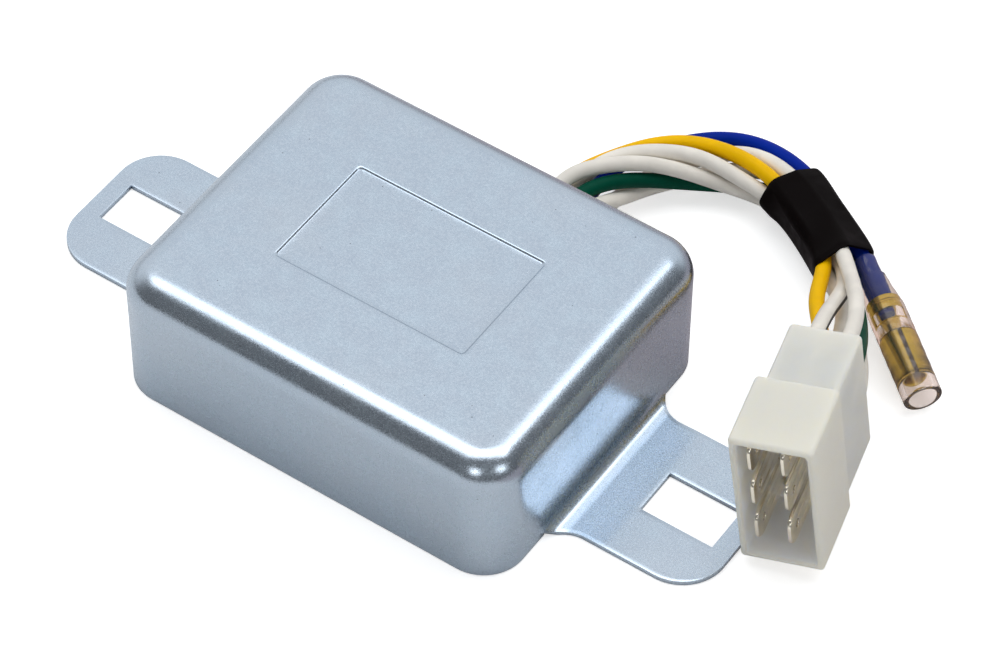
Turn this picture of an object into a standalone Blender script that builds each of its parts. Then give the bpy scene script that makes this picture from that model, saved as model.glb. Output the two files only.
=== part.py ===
"""Alternator voltage regulator: a pressed steel box with two mounting tabs and a short wiring pigtail.

The box is folded from one sheet. Its electronics stand on a board over a layer of resin that closes the
underside. Seven wires leave the back wall through a rubber grommet and turn back beside the box: six go to
a nylon plug and the blue one to a bullet socket in a clear boot.

Frame: the origin is the centre of the box at its open underside, +X runs along the box towards the plug,
+Y towards the wall that the wires leave by, and +Z up. Lengths are in metres.
"""

import math

import bmesh
import bpy
import numpy as np
from mathutils import Euler, Matrix, Vector

MM = 0.001

# Clearance between pieces that touch
GAP = 0.3 * MM

# Cover
BOX_LENGTH = 80.0 * MM
BOX_WIDTH = 64.5 * MM
BOX_HEIGHT = 27.5 * MM
SHEET = 1.0 * MM
CORNER_RADIUS = 8.0 * MM
TOP_EDGE_RADIUS = 5.6 * MM
BEND_RADIUS = 2.0 * MM

# Mounting tabs
TAB_LENGTH = 28.5 * MM
TAB_WIDTH = 30.0 * MM
TAB_CORNER_RADIUS = 8.5 * MM
TAB_ROOT_RADIUS = 6.0 * MM
SLOT_LENGTH = 14.4 * MM
SLOT_WIDTH = 9.3 * MM
SLOT_FROM_TAB_END = 3.6 * MM
SLOT_CORNER_RADIUS = 0.3 * MM

# Label recess in the top
PANEL_LENGTH = 38.9 * MM
PANEL_WIDTH = 24.8 * MM
PANEL_CORNER_RADIUS = 0.8 * MM
PANEL_DEPTH = 0.3 * MM

# Resin and board
RESIN_LOW = 0.8 * MM
RESIN_THICKNESS = 2.0 * MM
BOARD_THICKNESS = 1.6 * MM
BOARD_MARGIN = 3.2 * MM
BOARD_TOP = RESIN_LOW + RESIN_THICKNESS + GAP + BOARD_THICKNESS
TRANSISTOR_WIDTH = 10.2 * MM
TRANSISTOR_DEPTH = 4.5 * MM
TRANSISTOR_BACK = 1.3 * MM
TRANSISTOR_LEG = 1.8 * MM
LEG_PITCH = 2.54 * MM
LEG_THICKNESS = 0.8 * MM
DRIVER_RADIUS = 2.3 * MM
DRIVER_HEIGHT = 4.7 * MM
DRIVER_LEG = 3.0 * MM
CAPACITOR_RADIUS = 4.0 * MM
CAPACITOR_HEIGHT = 12.0 * MM
CAPACITOR_CRIMP = 0.3 * MM
DIODE_RADIUS = 2.6 * MM
DIODE_LENGTH = 9.0 * MM
ZENER_RADIUS = 1.3 * MM
ZENER_LENGTH = 5.0 * MM
RESISTOR_RADIUS = 1.6 * MM
RESISTOR_LENGTH = 8.5 * MM
LEAD_REACH = 2.5 * MM
LEAD_LIFT = 1.0 * MM

# Wires and the grommet, in two rows in the back wall
WIRE_DIAMETER = 2.8 * MM
WIRE_PITCH = 3.2 * MM
ROW_RISE = 2.8 * MM
GROMMET_FROM_RIGHT = 33.8 * MM
GROMMET_HEIGHT = 9.0 * MM
GROMMET_OPENING_RADIUS = 3.9 * MM
GROMMET_STRAIGHT = 6.2 * MM
GROMMET_WALL = 1.2 * MM
GROMMET_LIP = 0.5 * MM
GROMMET_LIP_THICKNESS = 1.6 * MM

# Sleeve shrunk over the seven wires
SLEEVE_WALL = 0.6 * MM

# Plug, in its own frame: +X out of its mating face, +Y across, +Z up its long side
PLUG_WIDTH = 14.7 * MM
PLUG_HEIGHT = 28.5 * MM
PLUG_LENGTH = 28.4 * MM
SHROUD_LENGTH = 15.3 * MM
SHROUD_DEPTH = 13.6 * MM
SHROUD_WALL = 1.3 * MM
SHROUD_EDGE = 0.8 * MM
COLUMN_PITCH = 5.75 * MM
ROW_PITCH = 8.1 * MM
CAVITY_WIDTH = 4.9 * MM
CAVITY_HEIGHT = 7.0 * MM
CAVITY_WALL = 1.0 * MM
CAVITIES_ACROSS = 0.72 * MM
CAVITIES_UP = 1.35 * MM
BLADE_WIDTH = 6.2 * MM
BLADE_THICKNESS = 0.8 * MM
BLADE_SET_BACK = 0.2 * MM
BLADE_OFFSET = 1.75 * MM
BLADE_TAIL_WIDTH = 2.4 * MM
BLADE_TIP_TAPER = 0.6 * MM
BLADE_TIP_RADIUS = 1.1 * MM
BLADE_EYE_RADIUS = 0.8 * MM
BLADE_EYE_FROM_TIP = 3.0 * MM
BARREL_LENGTH = 5.0 * MM
BARREL_WALL = 0.45 * MM
BARREL_FROM_REAR = 4.0 * MM

# Bullet connector on the blue wire, along its own +X from the wire's end
BOOT_LENGTH = 30.2 * MM
BOOT_WALL = 0.8 * MM
BOOT_NECK_RADIUS = 2.0 * MM
BOOT_MOUTH_RADIUS = 3.5 * MM
SOCKET_START = 8.1 * MM
SOCKET_LENGTH = 18.1 * MM
SOCKET_RADIUS = 2.35 * MM
SOCKET_LIP = 0.05 * MM
SOCKET_BORE_RADIUS = 1.85 * MM
SOCKET_NECK_RADIUS = 1.3 * MM
SOCKET_SLIT = 0.7 * MM
GRIP_LENGTH = 2.9 * MM
GRIP_WALL = 0.3 * MM
WINDOW_LENGTH = 2.0 * MM

ROUND_STEPS = 20

# The harness is measured from the foot of the box's back right corner
HARNESS_CORNER = Vector((BOX_LENGTH / 2, BOX_WIDTH / 2, 0.0))
PLUG_PLACE = Vector((34.93, -34.6, 0.0)) * MM
PLUG_ROTATION = Euler((math.radians(8.43), math.radians(-1.66), math.radians(-75.93)), "XYZ")
BOOT_PLACE = Vector((14.71, 27.73, 7.0)) * MM
BOOT_ROTATION = Euler((0.0, math.radians(6.4), math.radians(-38.4)), "XYZ")

parts = bpy.data.collections.new("alternator_voltage_regulator")
cutters = bpy.data.collections.new("cutters")


def clear_scene():
    for old in list(bpy.data.objects):
        bpy.data.objects.remove(old, do_unlink=True)
    bpy.context.scene.collection.children.link(parts)
    bpy.context.scene.collection.children.link(cutters)


def material(name, color, roughness, metallic=0.0, alpha=1.0):
    made = bpy.data.materials.new(name)
    made.use_nodes = True
    shader = made.node_tree.nodes["Principled BSDF"]
    shader.inputs["Base Color"].default_value = (*color, 1.0)
    shader.inputs["Roughness"].default_value = roughness
    shader.inputs["Metallic"].default_value = metallic
    shader.inputs["Alpha"].default_value = alpha
    return made


# Outlines and solids

def arc(across, along, radius, start, end, steps=8):
    """Points on an arc about (across, along), from the start angle to the end angle in degrees."""
    angles = [math.radians(start + (end - start) * i / steps) for i in range(steps + 1)]
    return [(across + radius * math.cos(a), along + radius * math.sin(a)) for a in angles]


def rounded_rectangle(length, width, radius, steps=6):
    x, y = length / 2 - radius, width / 2 - radius
    return (arc(x, y, radius, 0, 90, steps) + arc(-x, y, radius, 90, 180, steps)
            + arc(-x, -y, radius, 180, 270, steps) + arc(x, -y, radius, 270, 360, steps))


def stadium(across, along, straight, radius, steps=10):
    half = straight / 2
    return (arc(across + half, along, radius, -90, 90, steps)
            + arc(across - half, along, radius, 90, 270, steps))


def add_object(name, data, collection, look=None):
    made = bpy.data.objects.new(name, data)
    collection.objects.link(made)
    if look:
        data.materials.append(look)
    if collection is cutters:
        made.hide_render = True
        made.display_type = "WIRE"
    return made


def curve_to_mesh(curve, name, collection, look=None):
    """Closed mesh of a curve's evaluated form, in the curve's place, which it takes over."""
    bpy.context.view_layer.update()
    evaluated = curve.evaluated_get(bpy.context.evaluated_depsgraph_get())
    mesh = bpy.data.meshes.new_from_object(evaluated)
    mesh.name = name
    mesh.materials.clear()
    work = bmesh.new()
    work.from_mesh(mesh)
    bmesh.ops.remove_doubles(work, verts=work.verts, dist=0.001 * MM)
    bmesh.ops.dissolve_limit(work, angle_limit=math.radians(0.5), verts=work.verts, edges=work.edges)
    bmesh.ops.dissolve_limit(work, angle_limit=math.radians(0.5), verts=work.verts, edges=work.edges)
    bmesh.ops.recalc_face_normals(work, faces=work.faces)
    work.to_mesh(mesh)
    work.free()
    made = add_object(name, mesh, collection, look)
    made.matrix_world = curve.matrix_world.copy()
    bpy.data.objects.remove(curve, do_unlink=True)
    return made


# An outline's plane: its own x, y and normal as world directions
PLANES = {
    "Z": Matrix(((1, 0, 0), (0, 1, 0), (0, 0, 1))),
    "Y": Matrix(((1, 0, 0), (0, 0, -1), (0, 1, 0))),
}


def prism(name, outline, low, high, axis="Z", collection=cutters, look=None, holes=()):
    """Solid with the given outline, from low to high along the axis; Y outlines are (x, z) pairs."""
    data = bpy.data.curves.new(name, "CURVE")
    data.dimensions = "2D"
    data.fill_mode = "BOTH"
    data.extrude = (high - low) / 2
    for points in (outline, *holes):
        spline = data.splines.new("POLY")
        spline.points.add(len(points) - 1)
        spline.use_cyclic_u = True
        for point, (x, y) in zip(spline.points, points):
            point.co = (x, y, 0.0, 1.0)
    curve = add_object(name + "_outline", data, cutters)
    middle = (low + high) / 2
    place = (0, 0, middle) if axis == "Z" else (0, middle, 0)
    curve.matrix_world = Matrix.Translation(place) @ PLANES[axis].to_4x4()
    return curve_to_mesh(curve, name, collection, look)


def block(name, low, high, collection=cutters, look=None, bevel=0.0, segments=2):
    """Box between two corners, with its edges rounded."""
    mesh = bpy.data.meshes.new(name)
    work = bmesh.new()
    bmesh.ops.create_cube(work, size=1.0)
    size = Vector(high) - Vector(low)
    bmesh.ops.scale(work, vec=size, verts=work.verts)
    bmesh.ops.translate(work, vec=(Vector(high) + Vector(low)) / 2, verts=work.verts)
    work.to_mesh(mesh)
    work.free()
    made = add_object(name, mesh, collection, look)
    if bevel:
        add_bevel(made, bevel, segments)
    return made


def turned(name, profile, collection=cutters, look=None, steps=ROUND_STEPS):
    """Solid turned about Z from (radius, height) points that run down the outer side."""
    mesh = bpy.data.meshes.new(name)
    mesh.from_pydata([(r, 0.0, z) for r, z in profile], [(i, i + 1) for i in range(len(profile) - 1)], [])
    made = add_object(name, mesh, collection, look)
    screw = made.modifiers.new("Turn", "SCREW")
    screw.axis = "Z"
    screw.steps = screw.render_steps = steps
    screw.use_merge_vertices = True
    screw.merge_threshold = 0.01 * MM
    screw.use_smooth_shade = True
    return made


def add_bevel(target, width, segments, weighted=False):
    bevel = target.modifiers.new("Round", "BEVEL")
    bevel.width = width
    bevel.segments = segments
    bevel.limit_method = "WEIGHT" if weighted else "ANGLE"
    bevel.use_clamp_overlap = False
    return bevel


def round_top(target, radius, segments):
    """Round only the rim of the highest face."""
    mesh = target.data
    top = max(v.co.z for v in mesh.vertices)
    weights = mesh.attributes.new("bevel_weight_edge", "FLOAT", "EDGE")
    for edge in mesh.edges:
        if all(abs(mesh.vertices[i].co.z - top) < 0.01 * MM for i in edge.vertices):
            weights.data[edge.index].value = 1.0
    add_bevel(target, radius, segments, weighted=True)


def combine(target, other, operation):
    boolean = target.modifiers.new(operation.title() + "_" + other.name, "BOOLEAN")
    boolean.object = other
    boolean.operation = operation
    boolean.solver = "EXACT"


def cut(target, *others):
    for other in others:
        combine(target, other, "DIFFERENCE")


def join(target, *others):
    for other in others:
        combine(target, other, "UNION")


def carry(children, parent):
    for child in children:
        child.parent = parent


def tube(name, points, radius, look, collection=parts):
    data = bpy.data.curves.new(name, "CURVE")
    data.dimensions = "3D"
    data.bevel_depth = radius
    data.bevel_resolution = 2
    data.use_fill_caps = True
    spline = data.splines.new("POLY")
    spline.points.add(len(points) - 1)
    for point, place in zip(spline.points, points):
        point.co = (*place, 1.0)
    return add_object(name, data, collection, look)


def smooth_line(points, spacing):
    """Natural cubic spline through the route's points, read off at an even spacing."""
    knots = np.array([tuple(p) for p in points])
    lengths = np.linalg.norm(np.diff(knots, axis=0), axis=1)
    at = np.concatenate(([0.0], np.cumsum(lengths)))
    count = len(knots)
    system = np.eye(count)
    right = np.zeros((count, 3))
    for i in range(1, count - 1):
        before, after = lengths[i - 1], lengths[i]
        system[i, i - 1:i + 2] = before, 2 * (before + after), after
        right[i] = 6 * ((knots[i + 1] - knots[i]) / after - (knots[i] - knots[i - 1]) / before)
    bend = np.linalg.solve(system, right)
    steps = max(2, round(at[-1] / spacing))
    line = []
    for s in np.linspace(0.0, at[-1], steps + 1):
        i = min(max(int(np.searchsorted(at, s)) - 1, 0), count - 2)
        span, left, rest = lengths[i], s - at[i], at[i + 1] - s
        line.append(Vector(bend[i] * rest ** 3 / (6 * span) + bend[i + 1] * left ** 3 / (6 * span)
                           + (knots[i] / span - bend[i] * span / 6) * rest
                           + (knots[i + 1] / span - bend[i + 1] * span / 6) * left))
    return line


# Cover

def tab_outline(side):
    """Plan of one tab, with its wide root along the bend and its two round corners."""
    wall, end = BOX_LENGTH / 2, BOX_LENGTH / 2 + TAB_LENGTH
    half, root, corner = TAB_WIDTH / 2, TAB_ROOT_RADIUS, TAB_CORNER_RADIUS
    lower = ([(wall - 1.5 * SHEET, -half - root)] + arc(wall + root, -half - root, root, 180, 90, 6)
             + arc(end - corner, -half + corner, corner, -90, 0, 7))
    return [(side * x, y) for x, y in lower + [(x, -y) for x, y in reversed(lower)]]


def tab_profile(side):
    """Side view of one tab: flat plate, then the bend up into the wall."""
    wall, end = BOX_LENGTH / 2, BOX_LENGTH / 2 + TAB_LENGTH + SHEET
    inside = wall - 1.5 * SHEET
    rise = SHEET + BEND_RADIUS
    points = ([(inside, 0.0), (end, 0.0), (end, SHEET)]
              + arc(wall + BEND_RADIUS, rise, BEND_RADIUS, 270, 180, 5) + [(inside, rise)])
    return [(side * x, z) for x, z in points]


def under_bend_profile(side):
    """The space that the bend's outer radius leaves below the wall."""
    wall, rise = BOX_LENGTH / 2, SHEET + BEND_RADIUS
    inside = wall - 2 * SHEET
    points = ([(inside, -SHEET), (wall + BEND_RADIUS, -SHEET)]
              + arc(wall + BEND_RADIUS, rise, rise, 270, 180, 6) + [(inside, rise)])
    return [(side * x, z) for x, z in points]


def make_cover(look):
    cover = prism("cover", rounded_rectangle(BOX_LENGTH, BOX_WIDTH, CORNER_RADIUS), 0.0, BOX_HEIGHT,
                  collection=parts, look=look)
    round_top(cover, TOP_EDGE_RADIUS, 6)
    half_root = TAB_WIDTH / 2 + TAB_ROOT_RADIUS
    for side, word in ((1, "right"), (-1, "left")):
        tab = prism("tab_" + word, tab_profile(side), -half_root - SHEET, half_root + SHEET, "Y")
        plan = prism("tab_plan_" + word, tab_outline(side), -SHEET, 3 * (SHEET + BEND_RADIUS))
        combine(tab, plan, "INTERSECT")
        join(cover, tab)

    inner_length, inner_width = BOX_LENGTH - 2 * SHEET, BOX_WIDTH - 2 * SHEET
    hollow = prism("cover_hollow", rounded_rectangle(inner_length, inner_width, CORNER_RADIUS - SHEET),
                   -SHEET, BOX_HEIGHT - SHEET)
    round_top(hollow, TOP_EDGE_RADIUS - SHEET, 6)
    cut(cover, hollow)

    slot_middle = BOX_LENGTH / 2 + TAB_LENGTH - SLOT_FROM_TAB_END - SLOT_LENGTH / 2
    half_bend = TAB_WIDTH / 2 + TAB_ROOT_RADIUS / 2
    for side, word in ((1, "right"), (-1, "left")):
        slot = [(x + side * slot_middle, y)
                for x, y in rounded_rectangle(SLOT_LENGTH, SLOT_WIDTH, SLOT_CORNER_RADIUS, 2)]
        cut(cover,
            prism("under_bend_" + word, under_bend_profile(side), -half_bend, half_bend, "Y"),
            prism("tab_slot_" + word, slot, -SHEET, 3 * SHEET))

    back, grommet_x = BOX_WIDTH / 2, BOX_LENGTH / 2 - GROMMET_FROM_RIGHT
    hole_radius = GROMMET_OPENING_RADIUS + GROMMET_WALL + GAP
    cut(cover, prism("grommet_hole", stadium(grommet_x, GROMMET_HEIGHT, GROMMET_STRAIGHT, hole_radius),
                     back - 2 * SHEET, back + SHEET, "Y"))

    recess = rounded_rectangle(PANEL_LENGTH, PANEL_WIDTH, PANEL_CORNER_RADIUS, 3)
    pressed = rounded_rectangle(PANEL_LENGTH + SHEET, PANEL_WIDTH + SHEET, PANEL_CORNER_RADIUS, 3)
    under = BOX_HEIGHT - SHEET
    join(cover, prism("panel_back", pressed, under - PANEL_DEPTH, under + SHEET / 2))
    cut(cover, prism("panel_recess", recess, BOX_HEIGHT - PANEL_DEPTH, BOX_HEIGHT + SHEET))
    return cover


# Electronics

def inner_outline(margin):
    length, width = BOX_LENGTH - 2 * (SHEET + margin), BOX_WIDTH - 2 * (SHEET + margin)
    return rounded_rectangle(length, width, CORNER_RADIUS - SHEET - margin)


def make_resin(look):
    return prism("potting_resin", inner_outline(GAP), RESIN_LOW, RESIN_LOW + RESIN_THICKNESS,
                 collection=parts, look=look)


def make_board(look):
    return prism("circuit_board", inner_outline(BOARD_MARGIN), BOARD_TOP - BOARD_THICKNESS, BOARD_TOP,
                 collection=parts, look=look)


def bent_lead(name, half_pitch, height, radius):
    """Wire of an axial component, from one board hole up, along and down to the other."""
    corner = 2 * radius
    left = [(-half_pitch, 0), (-half_pitch, height - corner)]
    turn = [(-half_pitch + corner, height)]
    half = left + turn
    points = [Vector((x, 0.0, z)) for x, z in half + [(-x, z) for x, z in reversed(half)]]
    return curve_to_mesh(tube(name, points, radius, None, cutters), name, cutters)


def axial_component(name, place, turn, body_radius, body_length, look):
    """Diode or resistor lying over the board on its two bent leads."""
    half, shoulder = body_length / 2, body_radius * 0.15
    profile = [(0.0, half), (body_radius - shoulder, half), (body_radius, half - shoulder),
               (body_radius, shoulder - half), (body_radius - shoulder, -half), (0.0, -half)]
    made = turned(name, profile, parts, look, 12)
    height = body_radius + LEAD_LIFT
    lead = bent_lead(name + "_lead", half + LEAD_REACH, height, 0.25 * body_radius)
    stand = Matrix.Translation((place[0], place[1], BOARD_TOP + GAP)) @ Matrix.Rotation(turn, 4, "Z")
    made.matrix_world = stand @ Matrix.Translation((0, 0, height)) @ Matrix.Rotation(math.pi / 2, 4, "Y")
    lead.matrix_world = stand
    join(made, lead)
    return made


def make_capacitor(place, look):
    radius, height, crimp = CAPACITOR_RADIUS, CAPACITOR_HEIGHT, CAPACITOR_CRIMP
    profile = [(0.0, height), (radius - crimp, height), (radius, height - crimp), (radius, 0.2 * height),
               (radius - crimp, 0.17 * height), (radius, 0.14 * height), (radius, 0.0), (0.0, 0.0)]
    made = turned("filter_capacitor", profile, parts, look, 16)
    made.location = (place[0], place[1], BOARD_TOP + GAP)
    return made


def legs(name, places, low, high, thickness):
    return [block(f"{name}_{i}", (x - thickness / 2, y - thickness / 2, low),
                  (x + thickness / 2, y + thickness / 2, high)) for i, (x, y) in enumerate(places)]


def make_power_transistor(look):
    """Upright against the front wall, which cools it: moulded body, metal back and three legs."""
    middle_x = -0.12 * BOX_LENGTH
    wall = -BOX_WIDTH / 2 + SHEET + GAP
    low, half = BOARD_TOP + GAP, TRANSISTOR_WIDTH / 2
    body_low = low + TRANSISTOR_LEG
    back_high = BOX_HEIGHT - TOP_EDGE_RADIUS - GAP
    back_height = back_high - body_low
    body_high, eye_height = body_low + 0.6 * back_height, body_low + 0.81 * back_height
    eye_radius = 0.12 * back_height
    body = block("power_transistor", (middle_x - half, wall + TRANSISTOR_BACK / 2, body_low),
                 (middle_x + half, wall + TRANSISTOR_DEPTH, body_high), parts, look, GAP, 1)
    back = block("transistor_back", (middle_x - 0.96 * half, wall, body_low + TRANSISTOR_BACK / 2),
                 (middle_x + 0.96 * half, wall + TRANSISTOR_BACK, back_high))
    eye = prism("transistor_eye", arc(middle_x, eye_height, eye_radius, 0, 345, 23),
                wall - TRANSISTOR_BACK, wall + 2 * TRANSISTOR_BACK, "Y")
    pin_y = wall + 2 * TRANSISTOR_BACK
    pins = legs("transistor_leg", [(middle_x + step * LEG_PITCH, pin_y) for step in (-1, 0, 1)],
                low, body_low + TRANSISTOR_BACK, LEG_THICKNESS)
    join(body, back, *pins)
    cut(body, eye)
    return body


def make_driver_transistor(place, look):
    """Small moulded body with one flat side on three legs."""
    x, y = place
    low = BOARD_TOP + GAP
    body_low = low + DRIVER_LEG
    outline = [(x + px, y + py) for px, py in arc(0.0, 0.0, DRIVER_RADIUS, -40, 220, 10)]
    body = prism("driver_transistor", outline, body_low, body_low + DRIVER_HEIGHT,
                 collection=parts, look=look)
    places = [(x + step * LEG_PITCH / 2, y) for step in (-1, 0, 1)]
    join(body, *legs("driver_leg", places, low, body_low + LEG_THICKNESS, 0.6 * LEG_THICKNESS))
    return body


# Grommet

def make_grommet(look):
    """Rubber bush: a neck through the wall's hole with a lip on each side, and one long opening."""
    x, z = BOX_LENGTH / 2 - GROMMET_FROM_RIGHT, GROMMET_HEIGHT
    outer, inner = BOX_WIDTH / 2 + GAP, BOX_WIDTH / 2 - SHEET - GAP
    neck = GROMMET_OPENING_RADIUS + GROMMET_WALL
    lip = neck + GAP + GROMMET_LIP
    thick, sunk = GROMMET_LIP_THICKNESS, GROMMET_LIP_THICKNESS / 3
    grommet = prism("wire_grommet", stadium(x, z, GROMMET_STRAIGHT, neck), inner - sunk, outer + sunk,
                    "Y", parts, look)
    rim = stadium(x, z, GROMMET_STRAIGHT, lip)
    outer_lip = prism("outer_lip", rim, outer, outer + thick, "Y")
    inner_lip = prism("inner_lip", rim, inner - thick, inner, "Y")
    opening = prism("grommet_opening", stadium(x, z, GROMMET_STRAIGHT, GROMMET_OPENING_RADIUS),
                    inner - 3 * thick, outer + 3 * thick, "Y")
    join(grommet, outer_lip, inner_lip)
    cut(grommet, opening)
    return grommet


# Plug

def cavity_places():
    """Axis of each cavity across and up the plug, seen on its mating face."""
    return {f"{row}_{column}": (side * COLUMN_PITCH / 2 + CAVITIES_ACROSS, level * ROW_PITCH + CAVITIES_UP)
            for column, side in (("left", -1), ("right", 1))
            for row, level in (("top", 1), ("middle", 0), ("bottom", -1))}


def make_plug(look, frame):
    half_width, half_height = PLUG_WIDTH / 2, PLUG_HEIGHT / 2
    plug = block("plug_housing", (-SHROUD_LENGTH, -half_width, -half_height), (0.0, half_width, half_height),
                 parts, look, SHROUD_EDGE, 2)
    body_half_width = COLUMN_PITCH / 2 + CAVITY_WIDTH / 2 + CAVITY_WALL
    body_half_height = ROW_PITCH + CAVITY_HEIGHT / 2 + CAVITY_WALL
    body = block("plug_body",
                 (-PLUG_LENGTH, CAVITIES_ACROSS - body_half_width, CAVITIES_UP - body_half_height),
                 (2 * SHROUD_EDGE - SHROUD_LENGTH, CAVITIES_ACROSS + body_half_width,
                  CAVITIES_UP + body_half_height), bevel=SHROUD_EDGE)
    join(plug, body)
    pocket_half_width, pocket_half_height = half_width - SHROUD_WALL, half_height - SHROUD_WALL
    pocket = block("plug_pocket", (-SHROUD_DEPTH, -pocket_half_width, -pocket_half_height),
                   (SHROUD_WALL, pocket_half_width, pocket_half_height), bevel=SHROUD_EDGE / 2, segments=1)
    cut(plug, pocket)
    helpers = [plug, body, pocket]
    for name, (across, up) in cavity_places().items():
        cavity = block("cavity_" + name,
                       (-PLUG_LENGTH - SHEET, across - CAVITY_WIDTH / 2, up - CAVITY_HEIGHT / 2),
                       (-SHROUD_LENGTH, across + CAVITY_WIDTH / 2, up + CAVITY_HEIGHT / 2))
        half_slot = BLADE_THICKNESS / 2 + GAP
        slot = block("blade_slot_" + name,
                     (-SHROUD_LENGTH - SHEET, across - BLADE_OFFSET - half_slot, up - BLADE_WIDTH / 2 - GAP),
                     (-SHROUD_DEPTH + SHEET, across - BLADE_OFFSET + half_slot, up + BLADE_WIDTH / 2 + GAP))
        cut(plug, cavity, slot)
        helpers += [cavity, slot]
    carry(helpers, frame)
    return plug


def blade_outline(tip, root):
    """Side view of a blade: full width in the shroud, tapered tip, narrow tail in the cavity."""
    half, tail, corner = BLADE_WIDTH / 2, BLADE_TAIL_WIDTH / 2, BLADE_TIP_RADIUS
    shoulder = -SHROUD_LENGTH - BLADE_THICKNESS
    upper = ([(root, tail), (shoulder - BLADE_THICKNESS, tail), (shoulder, half), (tip - 2 * corner, half)]
             + arc(tip - corner, half - BLADE_TIP_TAPER - corner, corner, 60, 0, 3))
    return upper + [(x, -z) for x, z in reversed(upper)]


def make_terminals(look, frame):
    """Six identical male terminals: a flat blade with an eye near its tip, and a barrel round the wire."""
    tip = -BLADE_SET_BACK
    barrel_back = BARREL_FROM_REAR - PLUG_LENGTH
    eye = arc(tip - BLADE_EYE_FROM_TIP, 0.0, BLADE_EYE_RADIUS, 0, 315, 7)
    side = prism("blade_pattern", blade_outline(tip, barrel_back + GAP), -BLADE_THICKNESS / 2,
                 BLADE_THICKNESS / 2, "Y", holes=(eye,))
    side.location.y = -BLADE_OFFSET
    inside = WIRE_DIAMETER / 2 + GAP
    outside = inside + BARREL_WALL
    wall = [(inside, 0.0), (inside, BARREL_LENGTH), (outside, BARREL_LENGTH), (outside, 0.0), (inside, 0.0)]
    barrel = turned("barrel_pattern", wall, steps=12)
    barrel.matrix_world = Matrix.Translation((barrel_back, 0, 0)) @ Matrix.Rotation(math.pi / 2, 4, "Y")
    front = 0.9 * BARREL_LENGTH
    bore = turned("barrel_bore", [(0.0, front), (inside, front), (inside, -SHEET), (0.0, -SHEET)], steps=12)
    bore.matrix_world = barrel.matrix_world.copy()
    join(side, barrel)
    cut(side, bore)
    bpy.context.view_layer.update()
    evaluated = side.evaluated_get(bpy.context.evaluated_depsgraph_get())
    mesh = bpy.data.meshes.new_from_object(evaluated)
    mesh.name = "blade_terminal"
    mesh.materials.clear()
    mesh.materials.append(look)
    mesh.transform(side.matrix_world)
    for helper in (side, barrel, bore):
        bpy.data.objects.remove(helper, do_unlink=True)
    made = []
    for number, (across, up) in enumerate(cavity_places().values(), 1):
        terminal = bpy.data.objects.new(f"blade_terminal_{number}", mesh)
        parts.objects.link(terminal)
        terminal.location = (0.0, across, up)
        made.append(terminal)
    carry(made, frame)
    return made


# Bullet connector

def make_boot(look, frame):
    """Clear boot: a narrow collar on the wire, a shoulder, then a straight wide end with an open mouth."""
    length, neck, mouth, wall = BOOT_LENGTH, BOOT_NECK_RADIUS, BOOT_MOUTH_RADIUS, BOOT_WALL
    grip = WIRE_DIAMETER / 2 + GAP
    outer = [(0.0, neck), (0.13 * length, neck), (0.14 * length, 1.2 * neck), (0.245 * length, 0.79 * mouth),
             (0.39 * length, mouth), (length, mouth)]
    inner = [(0.0, grip), (0.14 * length, grip), (0.245 * length, 0.79 * mouth - 0.75 * wall),
             (0.39 * length, mouth - wall), (length, mouth - wall)]
    run = outer + inner[::-1] + outer[:1]
    boot = turned("bullet_sleeve", [(r, x) for x, r in reversed(run)], parts, look)
    turn_along(boot, frame)
    return boot


def make_socket(look, frame):
    """Brass socket: a grip on the insulation, a window over the wire's end, a neck and a slit barrel."""
    grip = WIRE_DIAMETER / 2 + GAP
    start, end = SOCKET_START, SOCKET_START + SOCKET_LENGTH
    window_start = start + GRIP_LENGTH
    window_end = window_start + WINDOW_LENGTH
    cup_end, neck_start = window_end + GAP, window_end + 3 * GAP
    neck_end = start + 0.43 * SOCKET_LENGTH
    barrel_start = neck_end + 0.8 * (SOCKET_RADIUS - SOCKET_NECK_RADIUS)
    bore_end = barrel_start + 2 * GRIP_WALL
    outer = [(start, grip + GRIP_WALL), (window_end, grip + GRIP_WALL), (neck_start, SOCKET_NECK_RADIUS),
             (neck_end, SOCKET_NECK_RADIUS), (barrel_start, SOCKET_RADIUS), (end - GRIP_WALL, SOCKET_RADIUS),
             (end, SOCKET_RADIUS + SOCKET_LIP)]
    bore = [(end, SOCKET_BORE_RADIUS), (bore_end, SOCKET_BORE_RADIUS), (bore_end, 0.0)]
    cup = [(cup_end, 0.0), (cup_end, grip - GRIP_WALL / 2), (window_end, grip), (start, grip)]
    socket = turned("bullet_socket", [(r, x) for x, r in reversed(cup + outer + bore)], parts, look)
    half_slit, reach = SOCKET_SLIT / 2, 2 * SOCKET_RADIUS
    slit = block("socket_slit", (barrel_start, -half_slit, 0.0), (end + reach, half_slit, reach))
    window = block("grip_window", (window_start, -reach, -half_slit), (window_end, reach, reach))
    turn_along(socket, frame)
    carry((slit, window), frame)
    cut(socket, slit, window)
    return socket


def turn_along(made, frame):
    """Lay a turned piece so that its own Z runs along the frame's X."""
    made.parent = frame
    made.rotation_euler = (0.0, math.pi / 2, 0.0)


# Wires

def entry(name):
    """A wire's inner end: on the board, then straight through its row of the grommet."""
    row = "lower" if name in GROMMET_ROWS["lower"] else "upper"
    members = GROMMET_ROWS[row]
    x = (members.index(name) - (len(members) - 1) / 2) * WIRE_PITCH - GROMMET_FROM_RIGHT
    on_board = BOARD_TOP + GAP + WIRE_DIAMETER / 2
    lip = GAP + GROMMET_LIP_THICKNESS
    inside = -SHEET - 2 * lip
    if row == "lower":
        height = GROMMET_HEIGHT - ROW_RISE / 2
        rise = [Vector((x, 2 * inside, on_board))]
    else:
        height = GROMMET_HEIGHT + ROW_RISE / 2
        rise = [Vector((x, 4 * inside, on_board)), Vector((x, 3.2 * inside, on_board + 2 * GAP)),
                Vector((x, 2 * inside, height - 3 * GAP))]
    return rise + [Vector((x, y, height)) for y in (inside, (inside + lip) / 2, lip)]


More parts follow.
